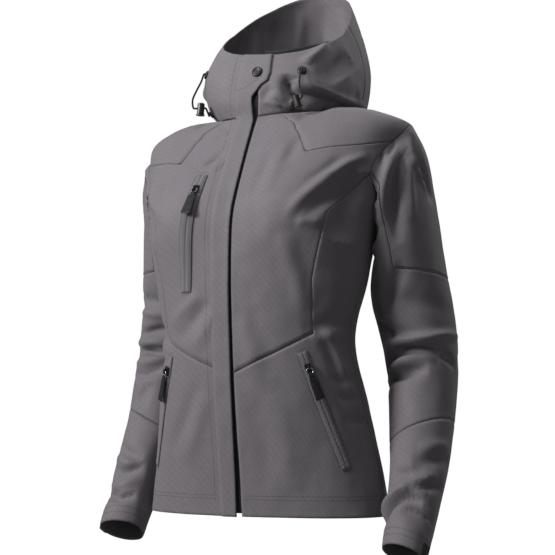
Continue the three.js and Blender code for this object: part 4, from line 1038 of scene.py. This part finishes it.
SHEETS["storm_flap_cloth"] = shell(
    "storm_flap_cloth", [on_opening(flap_x, flap_rows[:, None])], (), flap_height, flap_thickness
)
zip_rows = np.interp(np.arange(0, W_LENGTH[-1], 4), W_LENGTH, W)
zip_rows = np.clip(zip_rows, 0.06, 13.85)
zip_x = np.linspace(ZIP["right"] - 4, ZIP["left"] + GAPE["by"] + 3, 9)[None]
shell("front_zip_tape", [on_opening(zip_x, zip_rows[:, None])], (), -2.3, 1.2, ZIP_LOOK,
      replaces="front_zip")


# Fittings
def dressed(laid, on, lift=0.0):
    """Points on the finished cloth: on its creases, and a little above it."""
    points, normals = laid
    shape = points.shape
    out = creased(points.reshape(-1, 3), on).reshape(shape[:-1])
    return points + normals * (out + lift)[..., None], normals


def solid(name, verts, faces, look, body="jacket", smooth_faces=True, bevel=0.0):
    """A closed fitting from points in millimetres."""
    made = new_object(name, verts, faces, look, smooth_faces)
    if body != "jacket":
        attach(made, body)
    if bevel:
        edge = made.modifiers.new("bevel", "BEVEL")
        edge.width, edge.segments, edge.limit_method = bevel * MM, 3, "ANGLE"
    return made


def lathe(outline, sides=48):
    """A turned form about z, from its radii and heights, which start and end on the axis or meet."""
    verts, faces = [], []
    closed = outline[0] == outline[-1]
    ring = outline[:-1] if closed else outline
    turn = [math.tau * k / sides for k in range(sides)]
    for r, h in ring:
        verts += [(r * math.cos(a), r * math.sin(a), h) for a in turn]
    spans = len(ring) if closed else len(ring) - 1
    for j in range(spans):
        a, b = j * sides, (j + 1) % len(ring) * sides
        for k in range(sides):
            q = (k + 1) % sides
            faces.append([a + k, a + q, b + q, b + k])
    if not closed:
        if ring[0][0] > 0:
            faces.append(list(range(sides))[::-1])
        if ring[-1][0] > 0:
            faces.append([(len(ring) - 1) * sides + k for k in range(sides)])
    return clean(verts, faces)


def clean(verts, faces):
    """Joins doubled points and turns the faces outwards."""
    work = bmesh.new()
    made = [work.verts.new(v) for v in verts]
    for f in faces:
        corners = [made[i] for i in f]
        if len(set(corners)) > 2:
            work.faces.new(corners)
    bmesh.ops.remove_doubles(work, verts=work.verts, dist=0.002)
    bmesh.ops.recalc_face_normals(work, faces=work.faces)
    work.verts.index_update()
    out = [tuple(v.co) for v in work.verts], [[v.index for v in f.verts] for f in work.faces]
    work.free()
    return out


def slab(outline, low, high, taper=0.0, hole=None):
    """A flat piece from its outline, with softened rims, and a round hole if it has one."""
    outline = np.asarray(outline, float)
    n = len(outline)
    middle = outline.mean(0)
    verts, faces = [], []
    levels = [(low, taper), (low + (high - low) * 0.25, 0), (high - (high - low) * 0.25, 0), (high, taper)]
    for z, inset in levels:
        arm = outline - middle
        scale = 1 - inset / np.maximum(1e-6, np.linalg.norm(arm, axis=1))[:, None]
        verts += [(x, y, z) for x, y in middle + arm * scale]
    for j in range(3):
        for k in range(n):
            q = (k + 1) % n
            faces.append([j * n + k, j * n + q, (j + 1) * n + q, (j + 1) * n + k])
    if hole is None:
        faces.append(list(range(n))[::-1])
        faces.append([3 * n + k for k in range(n)])
        return clean(verts, faces)
    (cx, cy), r = hole
    turn = np.arctan2(outline[:, 1] - cy, outline[:, 0] - cx)
    base = len(verts)
    for z in (low, high):
        verts += [(cx + r * math.cos(t), cy + r * math.sin(t), z) for t in turn]
    for k in range(n):
        q = (k + 1) % n
        faces.append([q, k, base + k, base + q])
        faces.append([3 * n + k, 3 * n + q, base + n + q, base + n + k])
        faces.append([base + k, base + q, base + n + q, base + n + k])
    return clean(verts, faces)


def moved(made, basis, at):
    verts, faces = made
    return np.asarray(verts) @ np.asarray(basis, float) + np.asarray(at, float), faces


def unit(v):
    v = np.asarray(v, float)
    return v / np.linalg.norm(v)


def frame_at(normal, down):
    """Rows of a frame that lies on the cloth: across it, down it, and out of it."""
    n = unit(normal)
    t = unit(np.asarray(down, float) - n * np.dot(down, n))
    return np.array([np.cross(t, n), t, n])


# Pocket zips: a laminated tape with its slit, welt lines, slider with its ring, and a pull.
# A pull turns about its joint, and hang is how many degrees it leans off the cloth at rest.
HANG = {"chest_pull": 0.0, "hand_pull_left": 1.078, "hand_pull_right": 1.078}
PIVOTS = {joint["child"]: np.array(joint["pos_m"]) / MM for joint in frame["joints"]}
TAPE_SHARES = [-0.5, -0.46, -0.42, -0.37, -0.3, -0.14, -0.05, 0, 0.05, 0.14, 0.3, 0.37, 0.42, 0.46, 0.5]
TAPE_HEIGHTS = [-0.4, 0.1, -0.5, 0, 0.15, 0.2, 0.15, -0.9, 0.15, 0.2, 0.15, 0, -0.5, 0.1, -0.4]


def zip_line(zip_, side, t):
    """Points and normals at some shares of the way down a pocket zip."""
    x = mix(zip_["top"][0], zip_["end"][0], t) * side
    z = mix(zip_["top"][1], zip_["end"][1], t)
    points, normals = on_body([on_front(a, b) for a, b in zip(x, z)])
    return points, normals


def zip_frame(zip_, side, count):
    """Places down a pocket zip: their points and normals, the way down, and the ways across."""
    points, normals = zip_line(zip_, side, np.linspace(0, 1, count))
    down = unit(points[-1] - points[0])
    cross = np.cross(down, normals)
    return points, normals, down, cross / np.linalg.norm(cross, axis=1, keepdims=True)


def joined(parts):
    """Several forms as one."""
    verts, faces = [], []
    for more, around in parts:
        faces += [[i + len(verts) for i in face] for face in around]
        verts += [tuple(p) for p in more]
    return verts, faces


def pocket_zip(zip_, side, zip_node, slider, pull):
    """A pocket zip's tape, the slider's body, and the pull with its ring, neck, grip and ribs."""
    points, normals, down, cross = zip_frame(zip_, side, 60)
    shares, heights = np.array(TAPE_SHARES), np.array(TAPE_HEIGHTS)
    grid = points[:, None] + cross[:, None] * (shares * zip_["wide"])[None, :, None]
    grid = grid + normals[:, None] * heights[None, :, None]
    wide = np.repeat(normals[:, None], len(shares), 1)
    shell(f"{zip_node}_tape", [(grid, wide)], ("front",), 1.9, 1.0, TAPE_LOOK, replaces=zip_node)
    length = np.linalg.norm(points[-1] - points[0])
    at = SLIDER["from"] / length
    spot, normal = (v[0] for v in zip_line(zip_, side, np.array([at])))
    base = spot + normal * 1.8
    basis = frame_at(normal, down)
    outline = [(-3.1, -6.5), (3.1, -6.5), (4.5, -4.4), (4.5, -1), (2.9, 2.6),
               (3.3, 6.5), (-3.3, 6.5), (-2.9, 2.6), (-4.5, -1), (-4.5, -4.4)]
    verts, faces = moved(slab(outline, 0.6, SLIDER["base"] + 0.4, 0.5), basis, base)
    solid(f"{slider}_body", verts, faces, DARK_METAL_LOOK, bevel=0.25)
    frame["nodes"][slider].data.materials.clear()
    frame["nodes"][slider].data.materials.append(DARK_METAL_LOOK)

    hang = math.radians(HANG[pull])
    tilt = np.array([[1, 0, 0], [0, math.cos(hang), math.sin(hang)], [0, -math.sin(hang), math.cos(hang)]])
    origin = PIVOTS[pull]
    lie = tilt @ basis
    ring = []
    for k in range(40):
        a = math.tau * k / 40
        for q in range(10):
            b = math.tau * q / 10
            r = 4.3 + 0.8 * math.cos(b)
            ring.append((r * 1.05 * math.sin(a), 4.25 + r * math.cos(a), 0.8 * math.sin(b)))
    faces = [[k * 10 + q, k * 10 + (q + 1) % 10, (k + 1) % 40 * 10 + (q + 1) % 10, (k + 1) % 40 * 10 + q]
             for k in range(40) for q in range(10)]
    verts, faces = moved(clean(ring, faces), lie, origin)
    solid(f"{pull}_ring", verts, faces, METAL_LOOK, body=pull)
    neck = [(-2.9, 7), (2.9, 7), (3.4, 8), (3.8, 13.5), (-3.8, 13.5), (-3.4, 8)]
    verts, faces = moved(slab(neck, -1.15, 1.15, 0.4), lie, origin)
    solid(f"{pull}_neck", verts, faces, RUBBER_LOOK, body=pull, bevel=0.2)
    half = PULL["wide"] / 2 + (0.6 if pull == "chest_pull" else -0.6)
    grip = [(1 - half * 0.78, 13), (half * 0.78 - 1, 13), (half * 0.78, 14), (half - 0.4, 34), (half, 42.5),
            (half, 44.8), (half - 0.8, 46), (0.8 - half, 46), (-half, 44.8), (-half, 42.5), (0.4 - half, 34),
            (-half * 0.78, 14)]
    verts, faces = moved(slab(grip, -PULL["thick"] / 2, PULL["thick"] / 2, 0.5), lie, origin)
    made = solid(f"{pull}_grip", verts, faces, RUBBER_LOOK, body=pull, bevel=0.3)
    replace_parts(made, pull)
    bars = []
    for row in range(9):
        y = 17 + row * 2.9
        w = half * 0.62 + row * 0.14
        bar = [(-w, y), (w, y), (w, y + 1.1), (-w, y + 1.1)]
        bars.append(moved(slab(bar, PULL["thick"] / 2 - 0.2, PULL["thick"] / 2 + 0.28, 0.3), lie, origin))
    verts, faces = joined(bars)
    solid(f"{pull}_ribs", verts, faces, RUBBER_LOOK, body=pull)


pocket_zip(CHEST_ZIP, 1, "chest_zip", "chest_slider", "chest_pull")
pocket_zip(HAND_ZIP, 1, "hand_zip_left", "hand_slider_left", "hand_pull_left")
pocket_zip(HAND_ZIP, -1, "hand_zip_right", "hand_slider_right", "hand_pull_right")

# Snap on the tab
snap_at, snap_normal = (v.reshape(3) for v in on_opening([9.0], [12.5]))
SNAP = [(0, -0.3), (7.8, -0.3), (8.1, 0.3), (7.8, 1.2), (7.0, 1.9),
        (6.0, 2.3), (5.3, 2.2), (4.7, 1.6), (2.9, 1.5), (0, 1.7)]
verts, faces = moved(lathe(SNAP), frame_at(snap_normal, (0, 0, -1)), snap_at + snap_normal * 3.5)
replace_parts(solid("snap_cap", verts, faces, PLASTIC_LOOK), "snap")

# Drawcords with their eyelets, locks and anchors
EYELET = [(1.9, -0.6), (6.4, -0.4), (6.8, 0.4), (6.3, 1.2), (5.2, 1.9),
          (3.7, 2.1), (2.4, 1.8), (1.9, 1.0), (1.9, -0.6)]


def laid_hood(place):
    points, normals = on_hood([place])
    return points[0], normals[0]


for name, cord in CORDS.items():
    spot, normal = laid_hood(cord["eyelet"])
    verts, faces = moved(lathe(EYELET), frame_at(normal, (0, 0, -1)), spot)
    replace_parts(solid(f"eyelet_{name}_ring", verts, faces, PLASTIC_LOOK), f"eyelet_{name}")

    through, at = unit(cord["through"]), np.array(cord["lock"], float)
    upright = unit(np.array([0, 0, 1]) - through * through[2])
    basis = np.array([through, np.cross(upright, through), upright])
    half, r = LOCK["long"] / 2, LOCK["wide"] / 2
    lock_node = frame["nodes"][f"cord_lock_{name}"]
    lock_node.data.materials.clear()
    lock_node.data.materials.append(PLASTIC_LOOK)
    caps = []
    for low, high, wide in ((half - 0.6, half + 0.05, r - 1.6), (-half - 3.05, -half - 2.7, r - 0.6)):
        outline = [(0, low), (wide, low), (wide, high), (wide - 0.5, high + 0.02), (0, high)]
        caps.append(moved(lathe(outline), basis, at))
    verts, faces = joined(caps)
    cap = solid(f"cord_lock_{name}_caps", verts, faces, DARK_METAL_LOOK)

    tie, tie_normal = laid_hood(cord["anchor"])
    a, v = cord["anchor"]
    tab = patch(a - 2.6, a + 2.6, v - 0.16, v + 0.16, 6, 8)
    shell(f"cord_anchor_{name}_webbing", [on_hood(tab)], (), 2.6, 2, RIB_LOOK,
          replaces=f"cord_anchor_{name}")

    way = [spot + normal * 0.6, spot + normal * 4] + [np.array(p, float) for p in cord["way"]]
    way += [at + through * step for step in (-r - 3, -r, 0, r, r + 3)] + [tie + tie_normal * 4.8]
    smooth_way = polyline(way, 1.5)
    curve = bpy.data.curves.new(f"cord_{name}_braid", "CURVE")
    curve.dimensions = "3D"
    curve.bevel_depth = CORD / 2 * MM
    curve.bevel_resolution = 4
    spline = curve.splines.new("POLY")
    spline.points.add(len(smooth_way) - 1)
    for point, place in zip(spline.points, smooth_way):
        point.co = (*(place * MM), 1)
    curve.use_fill_caps = True
    curve.materials.append(CORD_LOOK)
    braid = bpy.data.objects.new(f"cord_{name}_braid", curve)
    bpy.context.collection.objects.link(braid)
    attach(braid, "jacket")
    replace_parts(braid, f"cord_{name}")


# Stitching
STITCH_FACES = [(0, 1, 3), (0, 3, 2), (0, 2, 4), (0, 4, 1), (5, 3, 1), (5, 2, 3), (5, 4, 2), (5, 1, 4)]


def stitches(name, lines, look, spacing=3.4, length=2.3, wide=0.8):
    """All the stitches along some lines of cloth, as one mesh; set close, they also make the dark strips of
    painted shadow by the pocket zips.
    """
    verts, faces = [], []
    for points, normals in lines:
        points, normals = np.asarray(points).reshape(-1, 3), np.asarray(normals).reshape(-1, 3)
        at = np.concatenate([[0], np.cumsum(np.linalg.norm(np.diff(points, axis=0), axis=1))])
        for k in range(int(at[-1] / spacing)):
            mid = (k + 0.5) * spacing
            ends = (mid - length / 2, mid + length / 2)
            a, b = (np.array([np.interp(end, at, points[:, c]) for c in range(3)]) for end in ends)
            up = unit([np.interp(mid, at, normals[:, c]) for c in range(3)])
            over = unit(np.cross(b - a, up)) * wide / 2
            base = len(verts)
            c = (a + b) / 2
            verts += [a - up * 0.1, c + over + up * 0.1, c - over + up * 0.1]
            verts += [c + up * wide * 0.6, c - up * 0.2, b - up * 0.1]
            faces += [[base + i for i in corners] for corners in STITCH_FACES]
    return new_object(name, verts, faces, look, smooth_faces=False)


def row_line(z, start, end):
    """A line round the body at one height, from one angle to another."""
    turn = np.linspace(start, end, 240)
    v = np.full(240, float(row_at(z)))
    for _ in range(5):
        level = body(turn, v)[:, 2]
        v = v + (z - level) / 75
    return dressed(on_body(np.stack([turn, v], -1)), ("front", "back"), 0.1)


def place_line(places, on, lay=on_body, lift=0.1):
    places = edge_at(places, np.linspace(0, 1, 12 * len(places)))
    return dressed(lay(places), on, lift)


BODY_ON = ("front", "back")
HEM_STITCHES = (-562.5, -567.5)
NECK_STITCHES = (9.93, 9.80)
CUFF_STITCHES = (10.5, 10.7)
FLAP_STITCH_X = -31.5
lines = []
for z in HEM_STITCHES:
    lines.append(row_line(z, 5, 352))
for v in NECK_STITCHES:
    lines.append(place_line([(float(front_angle(12, v)), v), (NECK_ANGLE, v)], BODY_ON))
    lines.append(place_line([(-float(front_angle(25, v)), v), (-NECK_ANGLE, v)], BODY_ON))
flap_top = np.linspace(0.3, 13.9, 300)
lines.append(dressed(on_opening(np.full(300, FLAP_STITCH_X), flap_top), ("front", "hood"), 0.1))
for side, name in ((1, "left"), (-1, "right")):
    on = (f"sleeve_{name}",)
    for u in CUFF_STITCHES:
        lines.append(place_line([(a, u) for a in range(-80, 281, 12)], on, on_sleeve(side)))
    u = np.linspace(0.1, 3.8, 40)
    lines.append(place_line(np.stack([front_seam(u) - 2.2, u], -1), on, on_sleeve(side)))
    a = np.linspace(-78, 80, 40)
    lines.append(place_line(np.stack([a, across_seam(a) - 0.05], -1), on, on_sleeve(side)))
stitches("topstitch_thread", lines, THREAD_AND_SHADOW_LOOK)


def zip_stitches(zip_, side):
    """The dotted frame sewn round a pocket zip, and two dark lines of painted shadow: one down its slit and
    one beside its welt.
    """
    points, normals, down, cross = zip_frame(zip_, side, 80)
    out = creased(points, ("front",))[:, None]
    half = zip_["wide"] / 2

    def beside(gap, lift):
        return points + cross * gap + normals * (out + lift), normals

    head = [beside(gap, 0.2)[0][0] - down * 4 for gap in (-half - 2, 0, half + 2)]
    foot = [beside(gap, 0.2)[0][-1] + down * 3 for gap in (-half - 2, 0, half + 2)]
    dotted = [beside(-half - 2, 0.2), beside(half + 2, 0.2)]
    dotted += [(head, [normals[0]] * 3), (foot, [normals[-1]] * 3)]
    # The second list is painted shadow: dark strips down the slit and beside the welt.
    return dotted, [beside(half + 0.2, 0.3), beside(0, 1.5)]


dotted, painted_shadow_lines = [], []
for zip_, side in ((CHEST_ZIP, 1), (HAND_ZIP, 1), (HAND_ZIP, -1)):
    more = zip_stitches(zip_, side)
    dotted += more[0]
    painted_shadow_lines += more[1]
stitches("zip_frame_thread", dotted, THREAD_AND_SHADOW_LOOK)
# Dark strips along each pocket zip's slit and beside its welt: painted shadow, made of close-set stitches in
# the thread material.
stitches("zip_slit_shadow", painted_shadow_lines, THREAD_AND_SHADOW_LOOK, 2.0, 2.8, 0.8)

diagonal = np.array([(-22, 11.42), (-8, 11.55), (8, 11.98), (18, 12.28)])
lines = [dressed(on_opening(np.interp(np.linspace(0, 3, 30), range(4), diagonal[:, 0]),
                            np.interp(np.linspace(0, 3, 30), range(4), diagonal[:, 1])), (), 3.3)]
stitches("tab_thread", lines, THREAD_AND_SHADOW_LOOK)

# The cloth area noted on each piece while it was made is taken off again. The area stated with it is
# that of the modelled cloth, so it agrees with the model by its making.
for name, made in SHEETS.items():
    del made["area_mm2"]

# Light, backdrop and floor
AMBIENT = 0.14
world = bpy.data.worlds.new("studio")
world.use_nodes = True
sky = world.node_tree
soft = sky.nodes["Background"]
soft.inputs["Color"].default_value = (1, 1, 1, 1)
soft.inputs["Strength"].default_value = AMBIENT
white = sky.nodes.new("ShaderNodeBackground")
white.inputs["Color"].default_value = (1, 1, 1, 1)
choose = sky.nodes.new("ShaderNodeMixShader")
link(sky, sky.nodes.new("ShaderNodeLightPath").outputs["Is Camera Ray"], choose.inputs["Fac"])
link(sky, soft.outputs["Background"], choose.inputs[1])
link(sky, white.outputs["Background"], choose.inputs[2])
link(sky, choose.outputs["Shader"], sky.nodes["World Output"].inputs["Surface"])
bpy.context.scene.world = world
bpy.context.scene.view_settings.view_transform = "Standard"


def area_light(name, place, size, power, target=(0, 0, -0.2)):
    """A round soft light that faces its target, in metres and watts."""
    data = bpy.data.lights.new(name, "AREA")
    data.shape = "DISK"
    data.size, data.energy = size, power
    lamp = bpy.data.objects.new(name, data)
    lamp.location = place
    lamp.rotation_mode = "QUATERNION"
    lamp.rotation_quaternion = (Vector(target) - Vector(place)).to_track_quat("-Z", "Y")
    bpy.context.collection.objects.link(lamp)


area_light("key", (-1.36, -2.05, 0.72), 0.8, 58)
area_light("top", (-0.5, -1.7, 1.9), 1.0, 7)
area_light("rim", (1.2, 2.1, 0.9), 0.8, 8)
area_light("hood_fill", (0.12, -0.3, 0.6), 0.25, 1.3, (-0.03, 0.12, 0.12))

FLOOR = {"half": 30, "z": -1.3, "turns": ((-1, -1), (1, -1), (1, 1), (-1, 1))}
floor_mesh = bpy.data.meshes.new("floor")
corners = [(x * FLOOR["half"], y * FLOOR["half"], FLOOR["z"]) for x, y in FLOOR["turns"]]
floor_mesh.from_pydata(corners, [], [(0, 1, 2, 3)])
floor = bpy.data.objects.new("floor", floor_mesh)
bpy.context.collection.objects.link(floor)
paint, tree, shader, place = material("floor_paint", (244, 244, 244), 0.9)
link(tree, remap(tree, noise_node(tree, place, 3, 2), 0.3, 0.7, 0.85, 0.95), shader.inputs["Roughness"])
shader.inputs["Emission Color"].default_value = (1, 1, 1, 1)
shader.inputs["Emission Strength"].default_value = 0.9
floor_mesh.materials.append(paint)
floor.visible_diffuse = False
floor.visible_glossy = False
